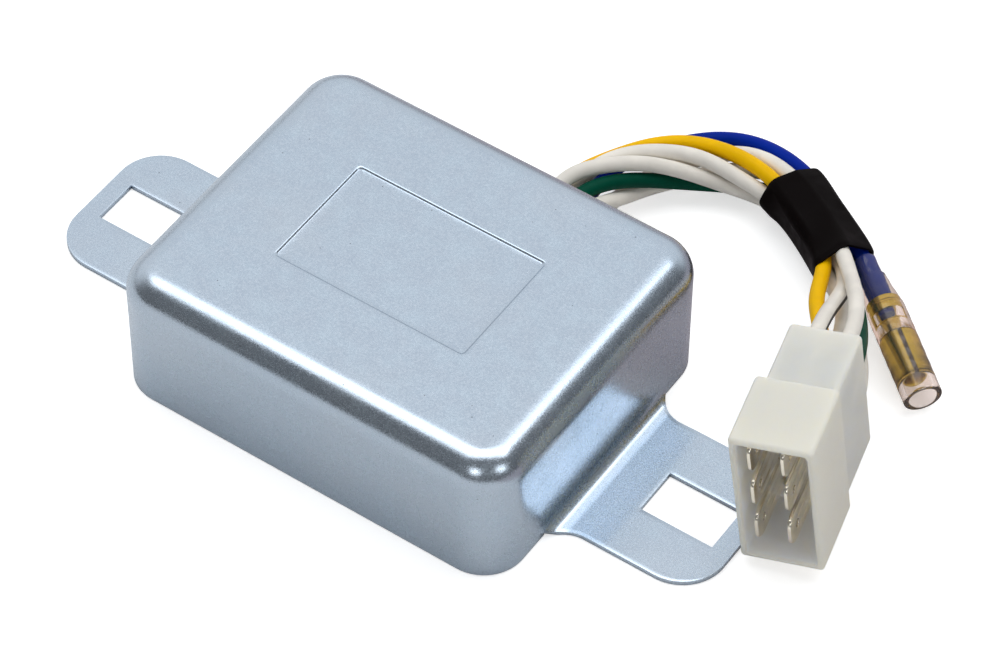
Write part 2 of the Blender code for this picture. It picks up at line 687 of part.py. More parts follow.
# Wires in each row of the grommet, from the left, and the plug's cavity that each of them goes to
GROMMET_ROWS = {
    "lower": ("wire_yellow", "wire_white_a", "wire_blue", "wire_white_c"),
    "upper": ("wire_white_b", "wire_green", "wire_white_d"),
}
WIRE_CAVITIES = {
    "wire_yellow": "middle_left",
    "wire_white_d": "top_left",
    "wire_white_a": "bottom_left",
    "wire_white_c": "top_right",
    "wire_green": "middle_right",
    "wire_white_b": "bottom_right",
}

# Free stretch of each wire, from the wall to its connector: hand-picked places in mm from the harness corner
ROUTES = {
    "wire_white_b": [
        (-36.1, 11.0, 11.9), (-32.9, 16.8, 11.4), (-28.3, 22.4, 9.8), (-22.7, 26.9, 7.3),
        (-15.7, 30.7, 4.5), (-7.3, 32.8, 3.1), (2.5, 30.0, 2.6), (9.6, 25.0, 2.5), (14.4, 20.4, 3.0),
        (30.6, -0.6, 9.7)],
    "wire_green": [
        (-32.2, 12.3, 10.0), (-29.6, 18.1, 8.3), (-25.7, 23.9, 5.6), (-20.6, 29.6, 3.0),
        (-14.8, 33.7, 2.1), (-6.3, 35.9, 2.5), (2.8, 33.4, 3.0), (11.1, 27.3, 3.9), (17.7, 19.8, 6.0),
        (29.5, -0.8, 16.4)],
    "wire_white_d": [
        (-30.1, 8.6, 9.4), (-29.0, 16.2, 5.8), (-27.6, 22.8, 3.2), (-23.3, 30.9, 1.7),
        (-16.7, 36.3, 2.9), (-6.8, 36.9, 5.4), (1.3, 32.3, 5.9), (13.3, 22.9, 7.7), (18.1, 13.4, 13.5),
        (22.2, 0.2, 22.4)],
    "wire_white_a": [
        (-35.1, 17.3, 9.0), (-31.6, 23.7, 9.2), (-27.2, 27.5, 9.1), (-21.7, 30.2, 8.7),
        (-13.8, 31.4, 7.2), (-6.2, 31.3, 5.8), (1.4, 28.5, 5.1), (10.0, 22.7, 5.3), (15.1, 18.2, 6.7),
        (23.4, 4.3, 13.2)],
    "wire_yellow": [
        (-38.2, 16.0, 6.6), (-34.9, 24.0, 6.3), (-30.7, 29.7, 6.7), (-26.5, 32.8, 7.2),
        (-21.6, 34.5, 7.7), (-13.8, 34.6, 8.5), (-6.0, 32.5, 8.7), (1.5, 28.2, 8.6), (8.4, 23.8, 8.3),
        (13.5, 13.7, 10.1), (20.3, 3.6, 13.9)],
    "wire_blue": [
        (-34.9, 19.9, 3.8), (-34.4, 28.0, 2.1), (-29.8, 35.8, 1.9), (-23.9, 40.1, 3.3),
        (-18.0, 41.5, 4.9), (-11.4, 40.9, 6.5), (-3.0, 37.9, 7.9), (5.0, 33.4, 7.7), (13.0, 28.9, 7.1)],
    "wire_white_c": [
        (-30.9, 19.7, 2.2), (-28.7, 28.3, 1.8), (-25.1, 33.4, 2.5), (-20.8, 36.6, 4.2),
        (-16.4, 37.8, 6.0), (-5.1, 35.5, 8.8), (2.6, 31.5, 9.1), (10.7, 25.6, 9.9), (17.2, 17.9, 14.0),
        (28.5, -1.2, 24.8)],
}

SLEEVE_START = Vector((-4.9, 35.3, 6.2)) * MM
SLEEVE_END = Vector((12.3, 25.1, 6.0)) * MM


def wire_line(name, plug_frame, boot_frame):
    """A wire's centreline: its inner end, its route, and its end in the plug or in the bullet socket."""
    points = [HARNESS_CORNER + p for p in entry(name)]
    points += [HARNESS_CORNER + Vector(p) * MM for p in ROUTES[name]]
    if name in WIRE_CAVITIES:
        across, up = cavity_places()[WIRE_CAVITIES[name]]
        frame, runs = plug_frame, (-PLUG_LENGTH, BARREL_FROM_REAR + 0.4 * BARREL_LENGTH - PLUG_LENGTH)
    else:
        across, up = 0.0, 0.0
        frame, runs = boot_frame, (0.0, 0.4 * SOCKET_START, SOCKET_START + GRIP_LENGTH + WINDOW_LENGTH - GAP)
    points += [frame.matrix_world @ Vector((run, across, up)) for run in runs]
    return smooth_line(points, 1.3 * WIRE_DIAMETER)


def crossing(line, place, direction):
    """Where a wire passes the plane through the place and across the direction."""
    for before, after in zip(line, line[1:]):
        low, high = (before - place).dot(direction), (after - place).dot(direction)
        if low <= 0.0 < high:
            return before.lerp(after, low / (low - high))
    raise ValueError("a wire misses the sleeve")


def make_sleeve(lines, look):
    """Tube shrunk over the bundle: each section is the hull of the seven wires there, lofted to the next."""
    start, end = HARNESS_CORNER + SLEEVE_START, HARNESS_CORNER + SLEEVE_END
    along = (end - start).normalized()
    out = Vector((0.0, 0.0, 1.0)).cross(along).normalized()
    up = along.cross(out)
    stations, sides = 8, 28
    reach = WIRE_DIAMETER / 2 + 1.15 * GAP
    work = bmesh.new()
    rings = []
    for station in range(stations + 1):
        centres = []
        for near in (station - 0.5, station, station + 0.5):
            place = start.lerp(end, near / stations)
            offsets = [crossing(line, place, along) - place for line in lines]
            centres += [(offset.dot(out), offset.dot(up)) for offset in offsets]
        ring = []
        for side in range(sides):
            angle = 2 * math.pi * side / sides
            x, y = math.cos(angle), math.sin(angle)
            far = max(centres, key=lambda centre: centre[0] * x + centre[1] * y)
            place = start.lerp(end, station / stations)
            ring.append(work.verts.new(place + out * (far[0] + reach * x) + up * (far[1] + reach * y)))
        rings.append(ring)
    for ring, following in zip(rings, rings[1:]):
        for i in range(sides):
            j = (i + 1) % sides
            work.faces.new((ring[i], ring[j], following[j], following[i]))
    mesh = bpy.data.meshes.new("harness_sleeve")
    work.to_mesh(mesh)
    work.free()
    sleeve = add_object("harness_sleeve", mesh, parts, look)
    wall = sleeve.modifiers.new("Wall", "SOLIDIFY")
    wall.thickness = SLEEVE_WALL
    wall.offset = 1.0
    return sleeve


def frame_empty(name, place, rotation):
    made = bpy.data.objects.new(name, None)
    parts.objects.link(made)
    made.location = place
    made.rotation_euler = rotation
    return made


def plug_rest_height():
    """Height of the mating face's centre when the plug's lowest corner stands just clear of the tab."""
    turn = PLUG_ROTATION.to_matrix()
    corners = [turn @ Vector((x, y * PLUG_WIDTH / 2, z * PLUG_HEIGHT / 2))
               for x in (-SHROUD_LENGTH, 0.0) for y in (-1, 1) for z in (-1, 1)]
    return SHEET + GAP - min(corner.z for corner in corners)


def build():
    clear_scene()
    zinc = material("zinc_plate", (0.62, 0.66, 0.71), 0.32, 1.0)
    resin = material("resin", (0.03, 0.03, 0.035), 0.5)
    board = material("board", (0.06, 0.2, 0.1), 0.5)
    moulded = material("moulded_black", (0.03, 0.03, 0.03), 0.45)
    lacquer = material("axial_part", (0.10, 0.09, 0.08), 0.4)
    rubber = material("black_rubber", (0.025, 0.025, 0.025), 0.65)
    nylon = material("natural_nylon", (0.80, 0.79, 0.74), 0.4)
    tin = material("tinned_brass", (0.75, 0.72, 0.62), 0.25, 1.0)
    brass = material("brass", (0.72, 0.55, 0.22), 0.28, 1.0)
    clear = material("clear_vinyl", (0.85, 0.80, 0.76), 0.15, 0.0, 0.35)
    vinyl = {
        "wire_yellow": material("yellow_vinyl", (0.86, 0.58, 0.01), 0.4),
        "wire_blue": material("blue_vinyl", (0.0, 0.045, 0.32), 0.4),
        "wire_green": material("green_vinyl", (0.0, 0.13, 0.08), 0.4),
    }
    white = material("white_vinyl", (0.80, 0.79, 0.75), 0.4)

    make_cover(zinc)
    make_resin(resin)
    make_board(board)
    make_power_transistor(moulded)
    make_driver_transistor((-0.02 * BOX_LENGTH, -0.12 * BOX_WIDTH), moulded)
    make_capacitor((0.27 * BOX_LENGTH, -0.2 * BOX_WIDTH), resin)
    axial_component("flyback_diode", (-0.3 * BOX_LENGTH, 0.05 * BOX_WIDTH), 0.0,
                    DIODE_RADIUS, DIODE_LENGTH, moulded)
    axial_component("zener_diode", (0.14 * BOX_LENGTH, -0.3 * BOX_WIDTH), math.pi / 2,
                    ZENER_RADIUS, ZENER_LENGTH, moulded)
    for name, across in (("resistor_a", -0.12), ("resistor_b", 0.22)):
        axial_component(name, (-0.3 * BOX_LENGTH, across * BOX_WIDTH), 0.0,
                        RESISTOR_RADIUS, RESISTOR_LENGTH, lacquer)
    make_grommet(rubber)

    plug_place = HARNESS_CORNER + PLUG_PLACE + Vector((0.0, 0.0, plug_rest_height()))
    plug_frame = frame_empty("plug_frame", plug_place, PLUG_ROTATION)
    boot_frame = frame_empty("boot_frame", HARNESS_CORNER + BOOT_PLACE, BOOT_ROTATION)
    make_plug(nylon, plug_frame)
    make_terminals(tin, plug_frame)
    make_boot(clear, boot_frame)
    make_socket(brass, boot_frame)

    bpy.context.view_layer.update()
    lines = {name: wire_line(name, plug_frame, boot_frame) for name in ROUTES}
    for name, line in lines.items():
        tube(name, line, WIRE_DIAMETER / 2, vinyl.get(name, white))
    make_sleeve(lines.values(), rubber)


build()
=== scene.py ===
"""Looks of the alternator voltage regulator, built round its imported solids. Sizes are in millimetres unless
a name says otherwise, and each piece's mesh is scaled to metres when it is made."""

import math

import bmesh
import bpy
import numpy as np
from mathutils import Euler, Matrix, Vector


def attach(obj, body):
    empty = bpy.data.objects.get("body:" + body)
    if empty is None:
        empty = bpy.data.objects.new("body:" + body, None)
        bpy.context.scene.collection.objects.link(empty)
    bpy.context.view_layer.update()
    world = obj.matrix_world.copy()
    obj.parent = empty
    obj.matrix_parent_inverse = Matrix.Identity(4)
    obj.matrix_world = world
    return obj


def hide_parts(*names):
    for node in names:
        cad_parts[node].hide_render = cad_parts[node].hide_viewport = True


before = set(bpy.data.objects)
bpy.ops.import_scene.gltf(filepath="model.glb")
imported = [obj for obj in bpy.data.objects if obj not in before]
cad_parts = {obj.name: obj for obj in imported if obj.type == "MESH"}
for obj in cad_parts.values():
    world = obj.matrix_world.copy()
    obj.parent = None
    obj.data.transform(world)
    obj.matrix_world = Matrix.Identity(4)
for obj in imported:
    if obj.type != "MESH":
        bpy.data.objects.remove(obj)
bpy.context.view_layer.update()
MM = 0.001

# Box and tabs: half sizes of the box and its height, sheet, radii, and the label recess (PANEL)
HALF_X, HALF_Y, TOP = 40.0, 32.25, 27.5
SHEET = 1.0
CORNER, FILLET, BEND = 8.0, 5.6, 2.0
TAB_END, TAB_HALF, TAB_CORNER, TAB_ROOT = 68.5, 15.0, 8.5, 6.0
SLOT_X0, SLOT_X1, SLOT_HALF = 50.5, 64.9, 4.65
PANEL_X, PANEL_Y, PANEL_CORNER, PANEL_DEPTH = 19.45, 12.4, 0.8, 0.3

# Harness, measured from the foot of the box's back right corner: a wire's radius, the room left between
# pieces, the sleeve, the plug with its shroud, cavities and blades, and the boot with its socket
HARNESS = np.array((HALF_X, HALF_Y, 0.0))
WIRE = 1.4
CLEAR = 0.3
SLEEVE_START, SLEEVE_END, SLEEVE_WALL = np.array((-4.9, 35.3, 6.2)), np.array((12.3, 25.1, 6.0)), 0.6
PLUG_X, PLUG_Y, PLUG_TURN = 34.93, -34.6, (8.43, -1.66, -75.93)
PLUG_WIDTH, PLUG_HEIGHT, PLUG_LENGTH = 14.7, 28.5, 28.4
SHROUD_LENGTH, SHROUD_DEPTH, SHROUD_WALL = 15.3, 13.6, 1.3
COLUMN_PITCH, ROW_PITCH, CAVITY_Y, CAVITY_Z = 5.75, 8.1, 0.72, 1.35
BLADE_TIP, BLADE_OFFSET, BARREL = -0.2, -1.75, 4.0 - PLUG_LENGTH
BOOT_PLACE, BOOT_TURN = (14.71, 27.73, 7.0), (0.0, 6.4, -38.4)
BOOT_LENGTH, SOCKET_START, SOCKET_LENGTH = 30.2, 8.1, 18.1

# Black stripe on one white wire: its middle and half its width, as shares of the way round
STRIPE_AT, STRIPE_HALF = 0.90, 0.05

# Grommet in the back wall, with two rows of wires, and the board behind it
GROMMET_X, GROMMET_Z, GROMMET_STRAIGHT, GROMMET_HOLE = 6.2, 9.0, 6.2, 5.4
WIRE_PITCH, WIRE_RISE, BOARD_TOP = 3.2, 1.4, 4.7

# Colours that more than one look uses
WHITE_VINYL, NATURAL_NYLON = (0.92, 0.87, 0.79), (0.91, 0.83, 0.70)

# Directions along the ground from the front to the back of the picture and to its right, as (x, y)
FAR, RIGHT = (-0.585, 0.811), (0.811, 0.585)


# Meshes

def add_mesh(name, verts, faces, look, sharp=35.0, place=None):
    """Mesh from points in mm, in the row frame or in the frame of the given matrix."""
    points = np.asarray(verts, float) * MM
    if place is not None:
        points = points @ np.array(place.to_3x3()).T + np.array(place.translation)
    mesh = bpy.data.meshes.new(name)
    mesh.from_pydata(points.tolist(), [], faces)
    mesh.validate()
    work = bmesh.new()
    work.from_mesh(mesh)
    bmesh.ops.recalc_face_normals(work, faces=work.faces)
    work.to_mesh(mesh)
    work.free()
    made = bpy.data.objects.new(name, mesh)
    bpy.context.scene.collection.objects.link(made)
    if look:
        mesh.materials.append(look)
    shade(made, sharp)
    return made


def shade(made, sharp):
    made.data.shade_smooth()
    made.data.set_sharp_from_angle(angle=math.radians(sharp))


def loft(rings, closed=False):
    """Vertices and faces that join equal rings of points, capped unless the last ring joins the first."""
    count = len(rings[0])
    verts = np.concatenate([np.asarray(r, float) for r in rings])
    faces = []
    last = len(rings) if closed else len(rings) - 1
    for k in range(last):
        a, b = k * count, ((k + 1) % len(rings)) * count
        for i in range(count):
            j = (i + 1) % count
            faces.append((a + i, a + j, b + j, b + i))
    if not closed:
        faces.append(tuple(range(count)))
        faces.append(tuple(range(len(verts) - count, len(verts))))
    return verts, faces


def bake(made, sharp=35.0):
    """Replace the object's mesh by its form with modifiers."""
    bpy.context.view_layer.update()
    evaluated = made.evaluated_get(bpy.context.evaluated_depsgraph_get())
    mesh = bpy.data.meshes.new_from_object(evaluated)
    made.modifiers.clear()
    made.data = mesh
    shade(made, sharp)
    return made


def cut(target, cutters, operation="DIFFERENCE"):
    """Cut the pieces away, or join them on, and delete them."""
    for cutter in cutters:
        step = target.modifiers.new("Cut", "BOOLEAN")
        step.object = cutter
        step.operation = operation
        step.solver = "EXACT"
    bake(target)
    for cutter in cutters:
        bpy.data.objects.remove(cutter, do_unlink=True)
    return target


def bevel(target, width, segments, angle=40.0):
    step = target.modifiers.new("Round", "BEVEL")
    step.width = width * MM
    step.segments = segments
    step.limit_method = "ANGLE"
    step.angle_limit = math.radians(angle)
    step.use_clamp_overlap = True
    return bake(target, angle)


def box(name, low, high, look=None, place=None, round_by=0.0, segments=3):
    """Box between two corners, with its edges rounded when a radius is given."""
    x0, y0, z0 = low
    x1, y1, z1 = high
    verts = [(x, y, z) for z in (z0, z1) for x, y in ((x0, y0), (x1, y0), (x1, y1), (x0, y1))]
    faces = [(0, 3, 2, 1), (4, 5, 6, 7), (0, 1, 5, 4), (1, 2, 6, 5), (2, 3, 7, 6), (3, 0, 4, 7)]
    made = add_mesh(name, verts, faces, look, place=place)
    return bevel(made, round_by, segments) if round_by else made


def prism(name, outline, low, high, place=None):
    """Block with an outline of (x, z) points, between two values of Y."""
    flat = np.asarray(outline, float)
    rings = [np.column_stack((flat[:, 0], np.full(len(flat), y), flat[:, 1])) for y in (low, high)]
    return add_mesh(name, *loft(rings), None, place=place)


def arc(x, y, radius, start, end, steps):
    """Points of an arc about (x, y), between two angles in degrees."""
    angles = np.radians(np.linspace(start, end, steps + 1))
    return [(x + radius * math.cos(a), y + radius * math.sin(a)) for a in angles]


def stadium(radius, steps=24):
    """The grommet's outline at that radius, as (x, z) points."""
    right, left = GROMMET_X + GROMMET_STRAIGHT / 2, GROMMET_X - GROMMET_STRAIGHT / 2
    return arc(right, GROMMET_Z, radius, -90, 90, steps) + arc(left, GROMMET_Z, radius, 90, 270, steps)


def rounded_loop(half_x, half_y, radius, sides=(64, 52), corner=14):
    """Rounded rectangle with a fixed count of points for each side and corner, anticlockwise from +X."""
    x, y = half_x - radius, half_y - radius
    points = []
    for cx, cy, start, run, steps in ((x, y, 0, (-1, 0), sides[0]), (-x, y, 90, (0, -1), sides[1]),
                                      (-x, -y, 180, (1, 0), sides[0]), (x, -y, 270, (0, 1), sides[1])):
        points += arc(cx, cy, radius, start, start + 90, corner)
        end = points[-1]
        length = 2 * (x if run[0] else y)
        points += [(end[0] + run[0] * length * i / steps, end[1] + run[1] * length * i / steps)
                   for i in range(1, steps)]
    return np.array(points)


def ripple(points, size, seed):
    """Slow, smooth unevenness of pressed sheet, from five crossed waves 9 to 29 mm long."""
    p = np.asarray(points, float)
    total = np.zeros(len(p))
    for k in range(5):
        angle, wave, weight = seed + 2.4 * k, 9.0 + 5.0 * k, 0.4 + 0.15 * k
        tilt = 0.5 * math.sin(3.1 * k + seed)
        heading = np.array((math.cos(angle), math.sin(angle), tilt))
        total += np.sin(p @ heading * 2 * math.pi / wave + 1.7 * k) * weight
    return size * total / 3.0


# Materials

class Nodes:
    """Short ways to add and join nodes in a shader tree."""

    def __init__(self, tree, coordinates):
        self.tree = tree
        self.coordinates = self.node("ShaderNodeTexCoord").outputs[coordinates]

    def node(self, kind, **settings):
        made = self.tree.nodes.new(kind)
        for key, value in settings.items():
            setattr(made, key, value)
        return made

    def feed(self, target, value):
        if isinstance(value, bpy.types.NodeSocket):
            self.tree.links.new(value, target)
        else:
            target.default_value = value

    def stretch(self, scale):
        """The coordinates scaled unevenly, for streaks."""
        made = self.node("ShaderNodeMapping")
        made.inputs["Scale"].default_value = scale
        self.tree.links.new(self.coordinates, made.inputs["Vector"])
        return made.outputs["Vector"]

    def noise(self, size, detail=3.0, rough=0.5, at=None):
        """Noise whose features are about that many mm across."""
        made = self.node("ShaderNodeTexNoise")
        made.inputs["Scale"].default_value = 1.0 / (size * MM)
        made.inputs["Detail"].default_value = detail
        made.inputs["Roughness"].default_value = rough
        self.tree.links.new(at or self.coordinates, made.inputs["Vector"])
        return made.outputs["Fac"]

    def cells(self, size):
        """Distance from the nearest of scattered points that many mm apart."""
        made = self.node("ShaderNodeTexVoronoi")
        made.inputs["Scale"].default_value = 1.0 / (size * MM)
        self.tree.links.new(self.coordinates, made.inputs["Vector"])
        return made.outputs["Distance"]

    def math(self, operation, *values):
        made = self.node("ShaderNodeMath", operation=operation)
        for target, value in zip(made.inputs, values):
            self.feed(target, value)
        return made.outputs[0]

    def span(self, value, low, high, to_low=0.0, to_high=1.0):
        """Smooth step of the value from one range to another."""
        made = self.node("ShaderNodeMapRange", interpolation_type="SMOOTHSTEP")
        for target, item in zip(made.inputs, (value, low, high, to_low, to_high)):
            self.feed(target, item)
        return made.outputs["Result"]

    def mix(self, share, first, second):
        """Blend of two colours, each a node's output or plain red, green and blue."""
        made = self.node("ShaderNodeMix", data_type="RGBA")
        self.feed(made.inputs["Factor"], share)
        for label, value in (("A", first), ("B", second)):
            target = [s for s in made.inputs if s.name == label and s.type == "RGBA"][0]
            self.feed(target, value if isinstance(value, bpy.types.NodeSocket) else (*value, 1.0))
        return [s for s in made.outputs if s.type == "RGBA"][0]


class Look(Nodes):
    """A Principled material whose inputs are fed by procedural nodes in object coordinates."""

    def __init__(self, name, color, roughness, metallic=0.0, **sockets):
        self.material = bpy.data.materials.new(name)
        self.material.use_nodes = True
        super().__init__(self.material.node_tree, "Object")
        self.shader = self.tree.nodes["Principled BSDF"]
        self.set("Base Color", (*color, 1.0))
        self.set("Roughness", roughness)
        self.set("Metallic", metallic)
        for socket, value in sockets.items():
            self.set(socket.replace("_", " "), value)

    def set(self, socket, value):
        self.feed(self.shader.inputs[socket], value)
        return self

    def bump(self, height, depth, strength=1.0):
        """Add relief of that many mm, on top of what is there."""
        made = self.node("ShaderNodeBump")
        made.inputs["Distance"].default_value = depth * MM
        made.inputs["Strength"].default_value = strength
        self.tree.links.new(height, made.inputs["Height"])
        links = self.shader.inputs["Normal"].links
        if links:
            self.tree.links.new(links[0].from_socket, made.inputs["Normal"])
        self.tree.links.new(made.outputs["Normal"], self.shader.inputs["Normal"])
        return self

    def attribute(self, name):
        return self.node("ShaderNodeAttribute", attribute_name=name).outputs["Fac"]


def zinc_look():
    """Clear zinc on drawn steel: bluish satin with a fine grain, coarser where the sheet was stretched."""
    look = Look("zinc_plate", (0.52, 0.60, 0.70), 0.27, 1.0)
    grain, cloud, patch = look.noise(0.35, 4.0, 0.65), look.noise(4.0, 4.0, 0.6), look.noise(22.0, 3.0)
    tone = look.mix(look.span(grain, 0.3, 0.72), (0.465, 0.55, 0.655), (0.55, 0.625, 0.715))
    tone = look.mix(look.span(cloud, 0.35, 0.75, 0.0, 0.35), tone, (0.50, 0.61, 0.70))
    tone = look.mix(look.span(patch, 0.45, 0.7, 0.0, 0.25), tone, (0.56, 0.60, 0.66))
    stains = look.span(look.noise(7.0, 5.0, 0.7), 0.69, 0.76, 0.0, 0.22)
    tone = look.mix(stains, tone, (0.40, 0.41, 0.42))
    specks, rare = look.span(look.cells(2.3), 0.055, 0.035), look.span(look.noise(9.0, 1.0), 0.56, 0.6)
    look.set("Base Color", look.mix(look.math("MULTIPLY", specks, rare), tone, (0.10, 0.10, 0.11)))
    rough = look.span(grain, 0.25, 0.8, 0.22, 0.33)
    rough = look.math("ADD", rough, look.span(cloud, 0.3, 0.8, -0.03, 0.03))
    look.set("Roughness", rough)
    look.bump(look.noise(0.22, 3.0, 0.6), 0.006, 0.55)
    pulled = look.math("MULTIPLY", look.noise(0.55, 4.0, 0.7), look.attribute("stretched"))
    look.bump(pulled, 0.03, 0.8)
    streaks = look.noise(0.5, 3.0, 0.6, look.stretch((1.0, 1.0, 0.03)))
    look.bump(look.math("MULTIPLY", streaks, look.attribute("wall")), 0.012, 0.6)
    return look.material


def plain_look(name, color, roughness, relief=0.01, size=0.6, metallic=0.0):
    """A moulded or plated surface with fine relief and slight changes of tone and gloss."""
    look = Look(name, color, roughness, metallic)
    fine = look.noise(size, 4.0, 0.6)
    light = [min(1.0, c * 1.06 + 0.004) for c in color]
    dark = [c * 0.9 for c in color]
    look.set("Base Color", look.mix(look.span(look.noise(size * 6), 0.3, 0.7), dark, light))
    look.set("Roughness", look.span(fine, 0.3, 0.7, roughness * 0.85, roughness * 1.15))
    look.bump(fine, relief, 0.6)
    return look.material


zinc = zinc_look()
rubber = plain_look("black_rubber", (0.022, 0.02, 0.02), 0.5, 0.012, 0.5)
resin = plain_look("resin", (0.02, 0.02, 0.022), 0.32, 0.03, 2.5)


# Cover

def mark(made, name, values):
    """Give each vertex a value that looks can read by that name."""
    attribute = made.data.attributes.new(name, "FLOAT", "POINT")
    attribute.data.foreach_set("value", np.asarray(values, np.float32))


def make_shell():
    """The drawn box: outside from the label recess down to the edge, and back up the inside."""
    rings, stretched = [], []

    def ring(half_x, half_y, radius, z, stretch=0.0, waves=0.02, sideways=False):
        """One loop of the sheet, how far it was stretched there, and how high its waves are."""
        loop = rounded_loop(half_x, half_y, max(radius, 0.05))
        points = np.column_stack((loop, np.full(len(loop), z)))
        offsets = ripple(points, waves, 0.7)
        if sideways:
            points[:, :2] += loop / np.linalg.norm(loop, axis=1)[:, None] * offsets[:, None] * 0.4
        else:
            points[:, 2] += offsets
        rings.append(points)
        stretched.append(np.full(len(points), stretch))

    # Floor of the recess, its step, and the top around it
    for share in np.linspace(0.08, 1.0, 14):
        ring((PANEL_X - 0.35) * share, (PANEL_Y - 0.35) * share, 0.3 * share, TOP - PANEL_DEPTH)
    for inset, drop in ((0.28, 0.94), (0.2, 0.78), (0.1, 0.5), (0.0, 0.2), (-0.1, 0.05), (-0.25, 0.0)):
        ring(PANEL_X - inset, PANEL_Y - inset, PANEL_CORNER, TOP - PANEL_DEPTH * drop)
    flat_x, flat_y, flat_radius = HALF_X - FILLET, HALF_Y - FILLET, CORNER - FILLET
    for share in np.linspace(0.0, 1.0, 22)[1:-1]:
        ring(PANEL_X + (flat_x - PANEL_X) * share, PANEL_Y + (flat_y - PANEL_Y) * share,
             PANEL_CORNER + (flat_radius - PANEL_CORNER) * share, TOP)

    # Fillet, wall and foot, then the inside
    for angle in np.radians(np.linspace(90, 0, 19)):
        inset, drop = FILLET * (1 - math.cos(angle)), FILLET * (1 - math.sin(angle))
        ring(HALF_X - inset, HALF_Y - inset, CORNER - inset, TOP - drop, math.sin(2 * angle), 0.012)
    for z in np.linspace(TOP - FILLET, 0.15, 24)[1:]:
        ring(HALF_X, HALF_Y, CORNER, z, 0.18, 0.03 * math.sin(math.pi * z / TOP), True)
    for inset, z in ((0.05, 0.05), (0.15, 0.0), (SHEET - 0.15, 0.0), (SHEET - 0.05, 0.05), (SHEET, 0.15),
                     (SHEET, 11.0), (SHEET, TOP - FILLET)):
        ring(HALF_X - inset, HALF_Y - inset, CORNER - inset, z, 0.01, 0.0)
    for angle in np.radians(np.linspace(0, 90, 7)[1:]):
        inset = SHEET + (FILLET - SHEET) * (1 - math.cos(angle))
        z = TOP - FILLET + (FILLET - SHEET) * math.sin(angle)
        ring(HALF_X - inset, HALF_Y - inset, CORNER - inset, z, 0.01, 0.0)

    verts, faces = loft(rings)
    shell = add_mesh("cover_shell", verts, faces, zinc)
    mark(shell, "stretched", np.concatenate(stretched))
    mark(shell, "wall", (verts[:, 2] < TOP - FILLET) & (np.abs(verts[:, 0]) > HALF_X - SHEET / 2))
    cutters = [prism("grommet_hole", stadium(GROMMET_HOLE), HALF_Y - 3, HALF_Y + 3)]
    rise, reach = SHEET + BEND, TAB_HALF + 3
    profile = [(HALF_X - 2 * SHEET, -1.0), (HALF_X + BEND, -1.0),
               *arc(HALF_X + BEND, rise, rise, 270, 180, 16), (HALF_X - 2 * SHEET, rise)]
    for side in (1, -1):
        cutters.append(prism("under_bend", [(side * x, z) for x, z in profile], -reach, reach))
    return cut(shell, cutters)


def tab_half(x):
    """Half the tab's width at that distance along X."""
    if x < HALF_X + TAB_ROOT:
        return TAB_HALF + TAB_ROOT - math.sqrt(max(0.0, TAB_ROOT ** 2 - (HALF_X + TAB_ROOT - x) ** 2))
    centre = TAB_END - TAB_CORNER
    if x > centre:
        return TAB_HALF - TAB_CORNER + math.sqrt(max(0.0, TAB_CORNER ** 2 - (x - centre) ** 2))
    return TAB_HALF


def make_tab(name, side):
    """One tab with its bend: a grid of stations along it, with the slot left out, closed to a plate."""
    turns = np.radians(np.linspace(90, 0, 13))
    bend_x, bend_z = HALF_X + BEND, SHEET + BEND
    upper, lower = ([(bend_x - radius * math.sin(a), bend_z - radius * math.cos(a)) for a in turns]
                    for radius in (BEND, BEND + SHEET))
    corner_x, part_way = TAB_END - TAB_CORNER, 31.2
    flat = np.concatenate([
        np.linspace(bend_x, HALF_X + TAB_ROOT, 9)[1:], np.linspace(HALF_X + TAB_ROOT, SLOT_X0, 8)[1:],
        np.linspace(SLOT_X0, corner_x, 14)[1:],
        corner_x + np.sin(np.radians(np.linspace(0, part_way, 8)[1:])) * TAB_CORNER,
        corner_x + np.sin(np.radians(np.linspace(part_way, 90, 18)[1:])) * TAB_CORNER])
    flat[np.argmin(np.abs(flat - SLOT_X1))] = SLOT_X1
    upper += [(x, SHEET) for x in flat]
    lower += [(x, 0.0) for x in flat]

    # Rows of points across it: over the slot, and beside it on both sides
    inner, outer = 18, 12
    rows = inner + 2 * outer + 1
    verts = []
    for line in (upper, lower):
        for (x, z), (top_x, _) in zip(line, upper):
            wide = np.linspace(SLOT_HALF, tab_half(top_x), outer + 1)[1:]
            ys = np.concatenate((-wide[::-1], np.linspace(-SLOT_HALF, SLOT_HALF, inner + 1), wide))
            verts += [(side * x, y, z) for y in ys]
    verts = np.array(verts)

    # Slow waves, and a shallow dish in the upper face next to the bend
    away = np.abs(verts[:, 0])
    verts[:, 2] += ripple(verts * (1, 1, 0), 0.012, 2.0) * np.clip((away - bend_x) / 8.0, 0, 1)
    dish = 0.035 * np.clip(50.0 - away, 0, 7) * np.clip((away - (HALF_X + SHEET)) / 2.0, 0, 1)
    verts[:, 2] = np.maximum(verts[:, 2] - dish * (verts[:, 2] > SHEET / 2), 0.0)

    count = len(upper)
    solid = np.ones((count - 1, rows - 1), bool)
    for k in range(count - 1):
        if SLOT_X0 < (upper[k][0] + upper[k + 1][0]) / 2 < SLOT_X1:
            solid[k, outer:outer + inner] = False

    def at(layer, k, i):
        return layer * count * rows + k * rows + i

    faces = []
    for k, i in zip(*np.nonzero(solid)):
        k, i = int(k), int(i)
        for layer in (0, 1):
            corners = ((k, i), (k, i + 1), (k + 1, i + 1), (k + 1, i))
            faces.append(tuple(at(layer, *corner) for corner in corners))
        for dk, di, first, second in ((-1, 0, (k, i), (k, i + 1)), (1, 0, (k + 1, i), (k + 1, i + 1)),
                                      (0, -1, (k, i), (k + 1, i)), (0, 1, (k, i + 1), (k + 1, i + 1))):
            nk, ni = k + dk, i + di
            if not (0 <= nk < count - 1 and 0 <= ni < rows - 1 and solid[nk, ni]):
                faces.append((at(0, *first), at(0, *second), at(1, *second), at(1, *first)))
    return bevel(add_mesh(name, verts, faces, zinc), 0.12, 2, 50)


